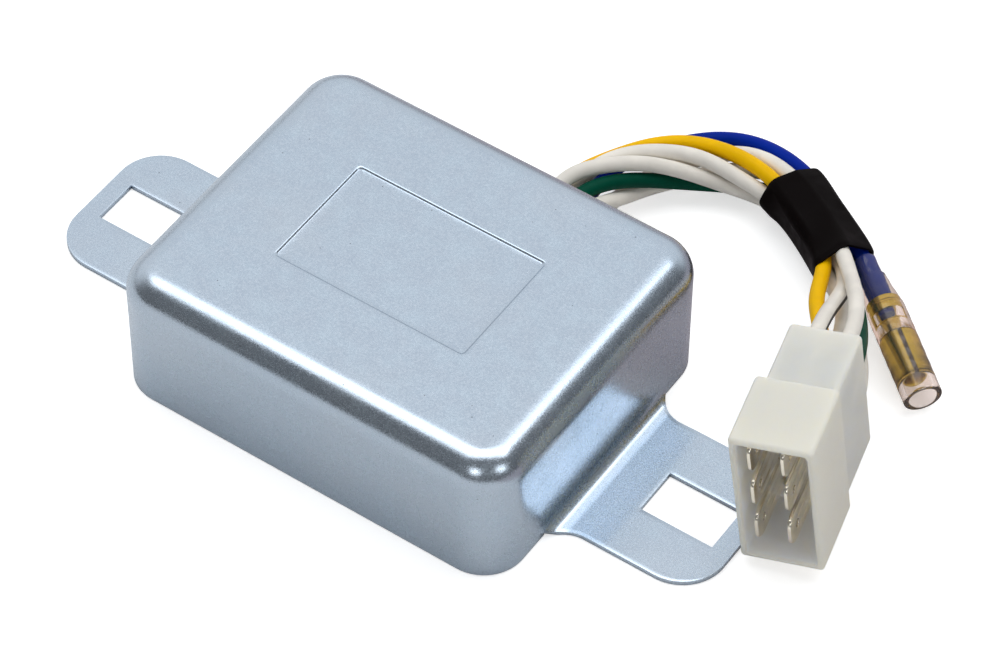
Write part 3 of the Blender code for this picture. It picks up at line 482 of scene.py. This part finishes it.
shell = make_shell()
tabs = [make_tab("tab_right", 1), make_tab("tab_left", -1)]


# Frames of the plug and of the bullet connector

def frame_at(place, turn):
    """Frame at a place in mm, turned by degrees about X, then Y, then Z."""
    angles = [math.radians(a) for a in turn]
    return Matrix.Translation(Vector(place) * MM) @ Euler(angles, "XYZ").to_matrix().to_4x4()


def placed(place, points):
    """Points in mm of the given frame, as points in mm of the row frame."""
    return np.asarray(points, float) @ np.array(place.to_3x3()).T + np.array(place.translation) / MM


def plug_frame():
    """The plug's frame, at the height where its lowest corner stands just clear of the tab."""
    corners = [(x, y * PLUG_WIDTH / 2, z * PLUG_HEIGHT / 2) for x in (-SHROUD_LENGTH, 0.0) for y in (-1, 1)
               for z in (-1, 1)]
    lowest = placed(frame_at((0, 0, 0), PLUG_TURN), corners)[:, 2].min()
    return frame_at(HARNESS + (PLUG_X, PLUG_Y, SHEET + CLEAR - lowest), PLUG_TURN)


plug_at = plug_frame()
boot_at = frame_at(HARNESS + BOOT_PLACE, BOOT_TURN)


# Wires: places on each of them in mm from the harness corner, from the wall to its connector

ROUTES = {
    "wire_white_b": [
        (-36.1, 11.0, 11.9), (-32.9, 16.8, 11.4), (-28.3, 22.4, 9.8), (-22.7, 26.9, 7.3),
        (-15.7, 30.7, 4.5), (-7.3, 32.8, 3.1), (2.5, 30.0, 2.6), (9.6, 25.0, 2.5), (14.4, 20.4, 3.0),
        (30.6, -0.6, 9.7)],
    "wire_green": [
        (-32.2, 12.3, 10.0), (-29.6, 18.1, 8.3), (-25.7, 23.9, 5.6), (-20.6, 29.6, 3.0),
        (-14.8, 33.7, 2.1), (-6.3, 35.9, 2.5), (2.8, 33.4, 3.0), (11.1, 27.3, 3.9), (17.7, 19.8, 6.0),
        (29.5, -0.8, 16.4)],
    "wire_white_d": [
        (-30.1, 8.6, 9.4), (-29.0, 16.2, 5.8), (-27.6, 22.8, 3.2), (-23.3, 30.9, 1.7),
        (-16.7, 36.3, 2.9), (-6.8, 36.9, 5.4), (1.3, 32.3, 5.9), (13.3, 22.9, 7.7), (18.1, 13.4, 13.5),
        (22.2, 0.2, 22.4)],
    "wire_white_a": [
        (-35.1, 17.3, 9.0), (-31.6, 23.7, 9.2), (-27.2, 27.5, 9.1), (-21.7, 30.2, 8.7),
        (-13.8, 31.4, 7.2), (-6.2, 31.3, 5.8), (1.4, 28.5, 5.1), (10.0, 22.7, 5.3), (15.1, 18.2, 6.7),
        (23.4, 4.3, 13.2)],
    "wire_yellow": [
        (-38.2, 16.0, 6.6), (-34.9, 24.0, 6.3), (-30.7, 29.7, 6.7), (-26.5, 32.8, 7.2),
        (-21.6, 34.5, 7.7), (-13.8, 34.6, 8.5), (-6.0, 32.5, 8.7), (1.5, 28.2, 8.6), (8.4, 23.8, 8.3),
        (13.5, 13.7, 10.1), (20.3, 3.6, 13.9)],
    "wire_blue": [
        (-34.9, 19.9, 3.8), (-34.4, 28.0, 2.1), (-29.8, 35.8, 1.9), (-23.9, 40.1, 3.3),
        (-18.0, 41.5, 4.9), (-11.4, 40.9, 6.5), (-3.0, 37.9, 7.9), (5.0, 33.4, 7.7), (13.0, 28.9, 7.1)],
    "wire_white_c": [
        (-30.9, 19.7, 2.2), (-28.7, 28.3, 1.8), (-25.1, 33.4, 2.5), (-20.8, 36.6, 4.2),
        (-16.4, 37.8, 6.0), (-5.1, 35.5, 8.8), (2.6, 31.5, 9.1), (10.7, 25.6, 9.9), (17.2, 17.9, 14.0),
        (28.5, -1.2, 24.8)],
}

# Wires in each row of the grommet, from the left, and the plug's cavity that each of them goes to
GROMMET_ROWS = {
    "lower": ("wire_yellow", "wire_white_a", "wire_blue", "wire_white_c"),
    "upper": ("wire_white_b", "wire_green", "wire_white_d"),
}
WIRE_CAVITIES = {
    "wire_yellow": "middle_left",
    "wire_white_d": "top_left",
    "wire_white_a": "bottom_left",
    "wire_white_c": "top_right",
    "wire_green": "middle_right",
    "wire_white_b": "bottom_right",
}


def smooth_line(points, spacing=0.8):
    """Natural cubic spline through the points, read off at an even spacing."""
    knots = np.array(points, float)
    lengths = np.linalg.norm(np.diff(knots, axis=0), axis=1)
    at = np.concatenate(([0.0], np.cumsum(lengths)))
    count = len(knots)
    system, right = np.eye(count), np.zeros((count, 3))
    for i in range(1, count - 1):
        before, after = lengths[i - 1], lengths[i]
        system[i, i - 1:i + 2] = before, 2 * (before + after), after
        right[i] = 6 * ((knots[i + 1] - knots[i]) / after - (knots[i] - knots[i - 1]) / before)
    bend = np.linalg.solve(system, right)
    line = []
    for s in np.linspace(0.0, at[-1], round(at[-1] / spacing) + 1):
        i = min(max(int(np.searchsorted(at, s)) - 1, 0), count - 2)
        span, left, rest = lengths[i], s - at[i], at[i + 1] - s
        line.append(bend[i] * rest ** 3 / (6 * span) + bend[i + 1] * left ** 3 / (6 * span)
                    + (knots[i] / span - bend[i] * span / 6) * rest
                    + (knots[i + 1] / span - bend[i + 1] * span / 6) * left)
    return np.array(line)


def entry(name):
    """A wire's inner end, from the harness corner: on the board, then straight through the grommet."""
    row = "lower" if name in GROMMET_ROWS["lower"] else "upper"
    members = GROMMET_ROWS[row]
    x = GROMMET_X - HALF_X + (members.index(name) - (len(members) - 1) / 2) * WIRE_PITCH
    board, lip = BOARD_TOP + WIRE + CLEAR, 1.9
    inside = -SHEET - 2 * lip
    height = GROMMET_Z + (-WIRE_RISE if row == "lower" else WIRE_RISE)
    rise = [(x, 2 * inside, board)]
    if row == "upper":
        rise = [(x, 4 * inside, board), (x, 3.2 * inside, board + 0.6), (x, 2 * inside, height - 0.9)]
    return rise + [(x, y, height) for y in (inside, (inside + lip) / 2, lip)]


def cavity_places():
    """Axis of each cavity across and up the plug, seen on its mating face."""
    return {f"{row}_{column}": (side * COLUMN_PITCH / 2 + CAVITY_Y, level * ROW_PITCH + CAVITY_Z)
            for column, side in (("left", -1), ("right", 1))
            for row, level in (("top", 1), ("middle", 0), ("bottom", -1))}


def wire_line(name):
    """A wire's whole axis, from the board to its barrel in the plug or its grip in the bullet socket."""
    places = [HARNESS + p for p in entry(name)] + [HARNESS + p for p in ROUTES[name]]
    if name in WIRE_CAVITIES:
        across, up = cavity_places()[WIRE_CAVITIES[name]]
        ends = placed(plug_at, [(x, across, up) for x in (-PLUG_LENGTH, BARREL + 2.0)])
    else:
        ends = placed(boot_at, [(x, 0, 0) for x in (0.0, 0.4 * SOCKET_START, SOCKET_START + 4.6)])
    return smooth_line(places + list(ends))


def tube(name, line, radius, look):
    """Round wire along the line."""
    data = bpy.data.curves.new(name, "CURVE")
    data.dimensions = "3D"
    data.bevel_depth = radius * MM
    data.bevel_resolution = 8
    data.use_fill_caps = True
    spline = data.splines.new("POLY")
    spline.points.add(len(line) - 1)
    for point, place in zip(spline.points, line):
        point.co = (*(place * MM), 1.0)
    data.materials.append(look)
    made = bpy.data.objects.new(name, data)
    bpy.context.scene.collection.objects.link(made)
    return made


def vinyl(name, color, gloss):
    """Soft extruded insulation: a faint uneven grain, dulled here and there by handling."""
    look = Look(name, color, 0.4, Specular_IOR_Level=gloss)
    slow = look.span(look.noise(6.0, 3.0), 0.35, 0.7)
    look.set("Base Color", look.mix(slow, [c * 0.9 for c in color], color))
    look.set("Roughness", look.span(look.noise(3.0, 4.0), 0.3, 0.7, 0.3, 0.48))
    look.bump(look.noise(1.1, 3.0, 0.5), 0.006, 0.4)
    return look.material


def striped(name, color, gloss):
    """Insulation with a printed black line along it; the wire's V coordinate runs once around it."""
    base = vinyl(name, color, gloss)
    look = Nodes(base.node_tree, "UV")
    split = look.node("ShaderNodeSeparateXYZ")
    look.feed(split.inputs[0], look.coordinates)
    away = look.math("ABSOLUTE", look.math("SUBTRACT", split.outputs[1], STRIPE_AT))
    inked = look.span(away, STRIPE_HALF, 1.4 * STRIPE_HALF, 1.0, 0.0)
    target = look.tree.nodes["Principled BSDF"].inputs["Base Color"]
    look.feed(target, look.mix(inked, target.links[0].from_socket, (0.01, 0.009, 0.009)))
    return base


white = vinyl("white_vinyl", WHITE_VINYL, 0.25)
wire_looks = {"wire_yellow": vinyl("yellow_vinyl", (0.98, 0.555, 0.0), 0.08),
              "wire_blue": vinyl("blue_vinyl", (0.0, 0.022, 0.33), 0.06),
              "wire_green": vinyl("green_vinyl", (0.0, 0.07, 0.04), 0.06),
              "wire_white_d": striped("striped_vinyl", WHITE_VINYL, 0.25)}
lines = {name: wire_line(name) for name in ROUTES}
wires = {name: tube(name + "_insulation", line, WIRE, wire_looks.get(name, white))
         for name, line in lines.items()}


# Sleeve

def crossing(line, place, direction):
    """Where a wire passes the plane through the place and across the direction."""
    side = (line - place) @ direction
    hits = [i for i in range(len(line) - 1) if side[i] <= 0.0 < side[i + 1]]
    share = side[hits[0]] / (side[hits[0]] - side[hits[0] + 1])
    return line[hits[0]] * (1 - share) + line[hits[0] + 1] * share


def make_sleeve(look):
    """Shrunk over the bundle: the hull of the wires at each station, with the folds of the shrunk film,
    rims rolled in, and a far end that reaches a little further on top."""
    start, end = HARNESS + SLEEVE_START, HARNESS + SLEEVE_END
    along = (end - start) / np.linalg.norm(end - start)
    out = np.cross((0.0, 0.0, 1.0), along)
    out /= np.linalg.norm(out)
    up = np.cross(along, out)
    stations, sides = 44, 128
    angles = np.linspace(0.0, 2 * math.pi, sides, endpoint=False)
    headings = np.stack((np.cos(angles), np.sin(angles)), 1)
    reach = WIRE + CLEAR + 0.05
    hulls = []
    for k in range(stations + 1):
        place = start + (end - start) * k / stations
        offsets = np.array([crossing(line, place, along) - place for line in lines.values()])
        centres = np.stack((offsets @ out, offsets @ up), 1)
        hulls.append(np.array([centres[np.argmax(centres @ h)] + reach * h for h in headings]))
    skins = {SLEEVE_WALL: [], 0.0: []}
    for skin, rings in skins.items():
        for k in range(stations + 1):
            share = k / stations
            ring = np.mean(hulls[max(0, k - 2):k + 3], axis=0) + headings * skin
            if skin:
                length = np.linalg.norm(np.roll(ring, -1, 0) - ring, axis=1).cumsum()
                folds = 0.03 * np.sin(length * 1.1 + 2.0 * math.sin(share * 4)) * math.sin(share * 7 + 1.0)
                folds += 0.03 * np.sin(share * 11 + angles * 2)
                rolled = -0.18 * math.exp(-min(k, stations - k) / 1.2)
                ring = ring + headings * (folds + rolled)[:, None]
            further = 0.5 * max(0.0, share - 0.6) / 0.4 * (0.5 + 0.5 * np.sin(angles)) ** 1.5
            place = start + (end - start) * share
            rings.append(place + ring[:, :1] * out + ring[:, 1:] * up + further[:, None] * along)
    verts, faces = loft(skins[SLEEVE_WALL] + skins[0.0][::-1], closed=True)
    return add_mesh("harness_sleeve_film", verts, faces, look, 60)


def sleeve_look():
    """Shrunk film: near black, with soft creases and a fine grain."""
    look = Look("shrunk_sleeve", (0.003, 0.0016, 0.0016), 0.4, Specular_IOR_Level=0.035)
    look.set("Roughness", look.span(look.noise(2.0, 4.0), 0.3, 0.7, 0.3, 0.45))
    look.bump(look.noise(2.6, 3.0, 0.5), 0.03, 0.5)
    look.bump(look.noise(0.3, 3.0), 0.006, 0.5)
    return look.material


sleeve = make_sleeve(sleeve_look())


# Plug

def make_housing(look):
    """One moulding: the shroud and the body behind it, with the shroud's pocket and its softened mouth, and
    a cavity and a slot for each blade. The inside of the pocket is marked, where the nylon's colour is
    painted lighter in place of light through the walls."""
    half_y, half_z = PLUG_WIDTH / 2, PLUG_HEIGHT / 2
    housing = box("plug_moulding", (-SHROUD_LENGTH, -half_y, -half_z), (0.0, half_y, half_z), look,
                  plug_at, 0.8, 5)
    body_y, body_z = COLUMN_PITCH / 2 + 3.45, ROW_PITCH + 4.5
    body = box("plug_body", (-PLUG_LENGTH, CAVITY_Y - body_y, CAVITY_Z - body_z),
               (1.6 - SHROUD_LENGTH, CAVITY_Y + body_y, CAVITY_Z + body_z), None, plug_at, 0.8, 4)
    cut(housing, [body], "UNION")

    inner_y, inner_z, inner_corner = half_y - SHROUD_WALL, half_z - SHROUD_WALL, 0.5
    cutters = [box("pocket", (-SHROUD_DEPTH, -inner_y, -inner_z), (2.0, inner_y, inner_z), None,
                   plug_at, inner_corner, 4)]
    rings = []
    for x, flare in ((-0.9, -0.02), (-0.55, 0.0), (-0.2, 0.18), (-0.06, 0.3), (0.4, 0.5)):
        loop = rounded_loop(inner_y + flare, inner_z + flare, inner_corner + flare, (2, 2), 5)
        rings.append(np.column_stack((np.full(len(loop), x), loop)))
    cutters.append(add_mesh("pocket_mouth", *loft(rings), None, place=plug_at))
    for across, up in cavity_places().values():
        cutters.append(box("cavity", (-PLUG_LENGTH - 1, across - 2.45, up - 3.5),
                           (-SHROUD_LENGTH, across + 2.45, up + 3.5), None, plug_at, 0.4, 3))
        middle = across + BLADE_OFFSET
        cutters.append(box("blade_slot", (-SHROUD_LENGTH - 1, middle - 0.65, up - 3.35),
                           (1 - SHROUD_DEPTH, middle + 0.65, up + 3.35), None, plug_at))
    cut(housing, cutters)

    points = np.array([v.co for v in housing.data.vertices]) / MM
    local = (points - np.array(plug_at.translation) / MM) @ np.array(plug_at.to_3x3())
    within = (np.abs(local[:, 1]) < inner_y + 0.1) & (np.abs(local[:, 2]) < inner_z + 0.1)
    mark(housing, "pocket", within & (local[:, 0] > -SHROUD_DEPTH - 0.1))
    return housing


def make_blade(number, across, up, look):
    """Stamped blade: rounded edges, a tip drawn thin, an eye near it, and the barrel crimped on the wire."""
    tip, nose, taper, thin = BLADE_TIP, 1.1, 2.4, 1.2
    stations = [*np.linspace(BARREL + 0.3, -17.6, 4), *np.linspace(-17.0, tip - taper, 10),
                *(tip - nose + nose * np.sin(np.radians(np.linspace(-70, 90, 12))))]
    rings = []
    for x in stations:
        half = 1.3 if x < -17.5 else 3.1
        half -= 0.6 * max(0.0, (x - (tip - taper)) / taper)
        if x > tip - nose:
            half -= nose - math.sqrt(max(0.0, nose ** 2 - (x - tip + nose) ** 2))
        thick = 0.4 - 0.12 * max(0.0, (x - (tip - thin)) / thin)
        ring = rounded_loop(max(half, 0.3), thick, min(0.2, thick * 0.8), (36, 2), 4)
        groove = np.exp(-((np.abs(ring[:, 0]) - 1.25) / 0.3) ** 2)
        groove *= min(1.0, max(0.0, (tip - 2.0 - x) / 1.5))
        rings.append(np.column_stack((np.full(len(ring), x), ring[:, 1] * (1 - 0.3 * groove), ring[:, 0])))
    place = plug_at @ Matrix.Translation(Vector((0.0, across + BLADE_OFFSET, up)) * MM)
    blade = add_mesh(f"blade_{number}", *loft(rings), look, 50, place)
    cut(blade, [prism("eye", arc(tip - 3.0, 0.0, 0.8, 0, 345, 23), -1.0, 1.0, place)])
    bevel(blade, 0.07, 2, 55)
    sleeve = [(0, 1.72), (0, 2.12), (0.3, 2.15), (4.7, 2.15), (5.0, 2.1), (5.0, 1.72)]
    place = plug_at @ Matrix.Translation(Vector((0.0, across, up)) * MM)
    barrel = turned(f"barrel_{number}", [(BARREL + x, radius) for x, radius in sleeve], place, look, 32)
    return [blade, barrel]


def turned(name, profile, place, look, sides=96):
    """Piece turned about the frame's X from a closed outline of (x, radius) points."""
    turn = np.linspace(0, 2 * math.pi, sides, endpoint=False)
    rings = [np.column_stack((np.full(sides, x), radius * np.cos(turn), radius * np.sin(turn)))
             for x, radius in profile]
    return add_mesh(name, *loft(rings, closed=True), look, 35, place)


def make_boot(look):
    """Clear boot: collar on the wire, shoulder and wide end, with slight rings from its mould, a soft rim
    and an inside that grips the wire and the socket, so that they show magnified."""
    xs = np.linspace(0.2, BOOT_LENGTH - 0.25, 130)
    outer = np.interp(xs, (0.0, 3.9, 4.25, 7.4, 9.0, 11.0, 12.0, BOOT_LENGTH),
                      (1.95, 2.0, 2.4, 2.76, 3.05, 3.4, 3.48, 3.48))
    outer += 0.02 * np.sin(2.4 * xs) * np.clip((BOOT_LENGTH - xs) / 4.0, 0.0, 1.0)
    inner = np.interp(xs, (0.0, 9.2, 9.6, 14.7, 16.2, 16.9, 26.2, 26.6, BOOT_LENGTH),
                      (1.3, 1.3, 1.85, 1.85, 2.1, 2.25, 2.25, 2.45, 2.5))
    rim = [(BOOT_LENGTH - 0.08, 3.4), (BOOT_LENGTH, 3.2), (BOOT_LENGTH, 2.8), (BOOT_LENGTH - 0.1, 2.6)]
    profile = [(0.0, 1.45), (0.02, 1.8), *zip(xs, outer), *rim, *zip(xs[::-1], inner[::-1])]
    return turned("boot_moulding", profile, boot_at, look)


def make_socket(look):
    """Socket: a grip on the insulation, a window over the wire's end, a neck and a slit barrel."""
    start, end = SOCKET_START + 1.2, SOCKET_START + SOCKET_LENGTH
    grip = [(0.0, 1.43), (0.0, 1.9), (0.12, 2.0), (1.0, 1.98), (1.15, 1.86), (1.4, 1.86), (1.55, 1.98),
            (4.9, 1.98)]
    neck = [(5.2, 1.8), (5.6, 1.3), (6.0, 1.2), (6.5, 1.22), (6.9, 1.35), (7.2, 1.75), (7.4, 2.2),
            (7.6, 2.32), (7.9, 2.35)]
    mouth = [(-0.5, 2.35), (-0.3, 2.42), (-0.08, 2.46), (0.0, 2.38), (0.0, 2.0), (-0.3, 1.85)]
    inside = [(8.3, 1.85), (8.1, 1.5), (8.1, 0.2), (5.1, 0.2), (5.1, 1.43)]
    outline = [(origin + x, radius) for origin, part in ((start, grip + neck), (end, mouth), (start, inside))
               for x, radius in part]
    socket = turned("socket_barrel", outline, boot_at, look)
    slit = box("slit", (start + 7.3, -0.35, 0.0), (end + 2.0, 0.35, 5.0), None, boot_at)
    window = box("window", (start + 2.7, -4.0, -0.35), (start + 4.9, 4.0, 4.0), None, boot_at, 0.2, 2)
    return cut(socket, [slit, window])


def make_grommet(look):
    """Rubber bush in the back wall: a lip on each side, soft edges and one long opening."""
    outer, inner, lip = HALF_Y + CLEAR, HALF_Y - SHEET - CLEAR, 1.6
    profile = [(outer + lip - 0.45, 3.9), (outer + lip - 0.12, 4.0), (outer + lip, 4.3), (outer + lip, 5.3),
               (outer + lip - 0.15, 5.7), (outer + lip - 0.5, 5.9), (outer, 5.9), (outer, 5.1),
               (inner, 5.1), (inner, 5.9), (inner - lip + 0.5, 5.9), (inner - lip, 5.4),
               (inner - lip, 4.2), (inner - lip + 0.4, 3.9)]
    rings = []
    for y, radius in profile:
        flat = np.array(stadium(radius))
        rings.append(np.column_stack((flat[:, 0], np.full(len(flat), y), flat[:, 1])))
    return add_mesh("grommet_bush", *loft(rings, closed=True), look, 40)


def make_fill(look):
    """Poured resin: a slow unevenness and a raised edge where it wets the walls."""
    reach_x, reach_y, round_by = HALF_X - SHEET - 0.05, HALF_Y - SHEET - 0.05, CORNER - SHEET
    poured, back = 0.8, 2.8
    levels = [(share, poured) for share in np.linspace(0.02, 0.96, 18)]
    levels += [(0.98, 0.74), (0.99, 0.62), (1.0, 0.4), (1.0, back), (0.5, back), (0.02, back)]
    rings = []
    for share, z in levels:
        loop = rounded_loop(reach_x * share, reach_y * share, round_by * share, (40, 32), 10)
        points = np.column_stack((loop, np.full(len(loop), z)))
        if z == poured:
            points[:, 2] += ripple(points, 0.08, 4.0)
        rings.append(points)
    return add_mesh("resin_fill", *loft(rings), look, 50)


def nylon_look():
    """Natural nylon: milky, with painted light in the marked pocket, whose colour is raised toward white to
    stand in for light through the thin walls.
    """
    look = Look("natural_nylon", NATURAL_NYLON, 0.36, Subsurface_Weight=1.0, Subsurface_Scale=0.004,
                Subsurface_Radius=(1.0, 0.9, 0.7), Specular_IOR_Level=0.3)
    # Painted light: inside the pocket the base colour is lifted toward white in place of light passing
    # through the thin walls
    look.set("Base Color", look.mix(look.attribute("pocket"), NATURAL_NYLON, (1.0, 0.975, 0.91)))
    look.set("Roughness", look.span(look.noise(2.5, 3.0), 0.3, 0.7, 0.33, 0.45))
    look.bump(look.noise(1.2, 4.0, 0.55), 0.01, 0.5)
    return look.material


def clear_look():
    """Clear vinyl with a brown tint that deepens with its thickness."""
    look = Look("clear_vinyl", (0.97, 0.93, 0.90), 0.09, Transmission_Weight=0.965, IOR=1.4)
    look.bump(look.noise(1.5, 3.0), 0.02, 0.5)
    tint = look.node("ShaderNodeVolumeAbsorption")
    tint.inputs["Color"].default_value = (0.88, 0.74, 0.64, 1.0)
    tint.inputs["Density"].default_value = 230.0
    look.feed(look.tree.nodes["Material Output"].inputs["Volume"], tint.outputs[0])
    return look.material


tin = plain_look("tinned_brass", (0.92, 0.85, 0.72), 0.2, 0.02, 0.5, 1.0)
brass = plain_look("brass", (0.56, 0.41, 0.06), 0.24, 0.015, 0.5, 1.0)

housing = make_housing(nylon_look())
blades = {number: make_blade(number, across, up, tin)
          for number, (across, up) in enumerate(cavity_places().values(), 1)}
boot = make_boot(clear_look())
socket = make_socket(brass)
bush = make_grommet(rubber)
fill = make_fill(resin)

# Pieces inside the box keep the solids' own meshes
inner_looks = {("circuit_board",): plain_look("board", (0.05, 0.17, 0.08), 0.45),
               ("filter_capacitor",): plain_look("can", (0.03, 0.04, 0.09), 0.4),
               ("resistor_a", "resistor_b"): plain_look("resistor_body", (0.55, 0.40, 0.25), 0.5),
               ("power_transistor", "driver_transistor", "flyback_diode", "zener_diode"):
                   plain_look("moulded_black", (0.03, 0.03, 0.03), 0.42)}
for nodes, inner_look in inner_looks.items():
    for node in nodes:
        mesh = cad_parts[node].data
        mesh.materials.clear()
        mesh.materials.append(inner_look)

# Each piece with the node that it replaces and its material slot
stands_for = [(shell, "cover", "zinc_plate"), (bush, "wire_grommet", "black_rubber"),
              (fill, "potting_resin", "resin"), (sleeve, "harness_sleeve", "black_rubber"),
              (housing, "plug_housing", "natural_nylon"), (boot, "bullet_sleeve", "clear_vinyl"),
              (socket, "bullet_socket", "brass")]
stands_for += [(tab, "cover", "zinc_plate") for tab in tabs]
stands_for += [(piece, f"blade_terminal_{number}", "tinned_brass")
               for number, pair in blades.items() for piece in pair]
slots = {"wire_yellow": "yellow_vinyl", "wire_blue": "blue_vinyl", "wire_green": "green_vinyl"}
stands_for += [(wire, name, slots.get(name, "white_vinyl")) for name, wire in wires.items()]
for piece, node, material_slot in stands_for:
    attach(piece, "root")
    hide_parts(node)


# Camera, world and floor

def set_camera():
    """The picture's camera: focal length in pixels of a picture 1000 wide, turn and shift of the part."""
    focal, width, sensor = 4304.098, 1000.0, 36.0
    shift = (-15.3425903, 5.19951441, 746.755666)
    turn = Vector((2.34163579, 0.731801995, -0.258688114))
    view = Matrix.Rotation(turn.length, 3, turn.normalized())
    data = bpy.data.cameras.new("camera")
    data.sensor_width, data.lens = sensor, focal * sensor / width
    data.clip_start, data.clip_end = 0.05, 20.0
    camera = bpy.data.objects.new("camera", data)
    bpy.context.scene.collection.objects.link(camera)
    camera.matrix_world = (view.transposed() @ Matrix.Diagonal((1, -1, -1))).to_4x4()
    camera.matrix_world.translation = -(view.transposed() @ Vector(shift)) * MM
    bpy.context.scene.camera = camera


def set_world():
    """A studio: an overhead softbox, two small lamps in front, and a sky that brightens to the back."""
    world = bpy.data.worlds.new("studio")
    world.use_nodes = True
    bpy.context.scene.world = world
    sky = Nodes(world.node_tree, "Generated")
    split = sky.node("ShaderNodeSeparateXYZ")
    sky.feed(split.inputs[0], sky.coordinates)
    x, y, z = split.outputs
    high = sky.math("MAXIMUM", z, 0.02)

    def toward(along_x, along_y):
        """How far the sky leans that way, as a share of its height."""
        across = sky.math("ADD", sky.math("MULTIPLY", x, along_x), sky.math("MULTIPLY", y, along_y))
        return sky.math("DIVIDE", across, high)

    def window(value, low, high, soft):
        """One between two values, zero outside, with soft edges."""
        above = sky.span(value, low - soft, low + soft)
        return sky.math("MULTIPLY", above, sky.span(value, high - soft, high + soft, 1, 0))

    far, right = toward(*FAR), toward(*RIGHT)

    softbox = sky.math("MULTIPLY", window(far, -0.1, 0.47, 0.05), window(right, -0.65, 0.8, 0.06))
    softbox = sky.math("MULTIPLY", softbox, sky.span(z, 0.02, 0.06))
    total = sky.math("MULTIPLY", softbox, sky.span(right, 0.5, 0.7, 2.3, 3.1))
    for ahead, aside in ((-1.42, -0.66), (-1.12, 1.03)):
        direction = Vector([a * ahead + b * aside for a, b in zip(FAR, RIGHT)] + [1.0])
        direction.normalize()
        dot = sky.node("ShaderNodeVectorMath", operation="DOT_PRODUCT")
        sky.feed(dot.inputs[0], sky.coordinates)
        dot.inputs[1].default_value = direction
        spot = sky.span(dot.outputs["Value"], math.cos(0.17), math.cos(0.13), 0.0, 4.0)
        total = sky.math("ADD", total, spot)
    back = sky.math("ADD", sky.math("MULTIPLY", x, -0.62), sky.math("MULTIPLY", y, 0.78))
    glow = sky.math("MULTIPLY", sky.span(back, 0.0, 0.6, 0.18, 0.9), sky.span(z, -0.05, 0.3, 0.5, 1.0))
    total = sky.math("ADD", total, glow)
    path = sky.node("ShaderNodeLightPath")
    seen = sky.math("MAXIMUM", path.outputs["Is Camera Ray"], path.outputs["Is Transmission Ray"])
    output = world.node_tree.nodes["World Output"]
    studio = world.node_tree.nodes["Background"]
    sky.feed(studio.inputs["Strength"], total)
    studio.inputs["Color"].default_value = (0.97, 0.985, 1.0, 1.0)
    plain = sky.node("ShaderNodeBackground")
    plain.inputs["Color"].default_value = (1.0, 1.0, 1.0, 1.0)
    either = sky.node("ShaderNodeMixShader")
    sky.feed(either.inputs[0], seen)
    sky.feed(either.inputs[1], studio.outputs[0])
    sky.feed(either.inputs[2], plain.outputs[0])
    sky.feed(output.inputs["Surface"], either.outputs[0])


def set_floor():
    """White table: it keeps a faint shadow, and is seen lifted to white, straight and through clear pieces.
    In the metal it is mirrored darker toward the back, which is painted shade given only to glossy rays."""
    mesh = bpy.data.meshes.new("table")
    reach, level = 3.0, -0.0001
    corners = [(x * reach, y * reach, level) for x, y in ((-1, -1), (1, -1), (1, 1), (-1, 1))]
    mesh.from_pydata(corners, [], [(0, 1, 2, 3)])
    floor = bpy.data.objects.new("table", mesh)
    bpy.context.scene.collection.objects.link(floor)
    look = Look("table", (0.8, 0.8, 0.8), 0.9)
    path = look.node("ShaderNodeLightPath")
    lift = look.math("MULTIPLY", path.outputs["Is Camera Ray"], 0.6)
    lift = look.math("ADD", lift, look.math("MULTIPLY", path.outputs["Is Transmission Ray"], 0.5))
    place = look.node("ShaderNodeSeparateXYZ")
    look.feed(place.inputs[0], look.coordinates)
    toward_back = look.math("ADD", look.math("MULTIPLY", place.outputs[0], 0.6),
                            look.math("MULTIPLY", place.outputs[1], 0.8))
    # Painted shade: glossy rays see the table darker toward the back, standing in for the shaded floor beside
    # the box
    mirrored = look.mix(look.span(toward_back, 0.03, 0.05), (0.85, 0.85, 0.85), (0.52, 0.46, 0.48))
    look.set("Base Color", look.mix(path.outputs["Is Glossy Ray"], (0.8, 0.8, 0.8), mirrored))
    look.set("Specular IOR Level", 0.0)
    look.set("Emission Color", (1.0, 1.0, 1.0, 1.0))
    look.set("Emission Strength", lift)
    mesh.materials.append(look.material)


set_camera()
set_world()
set_floor()
bpy.context.scene.view_settings.view_transform = "Standard"
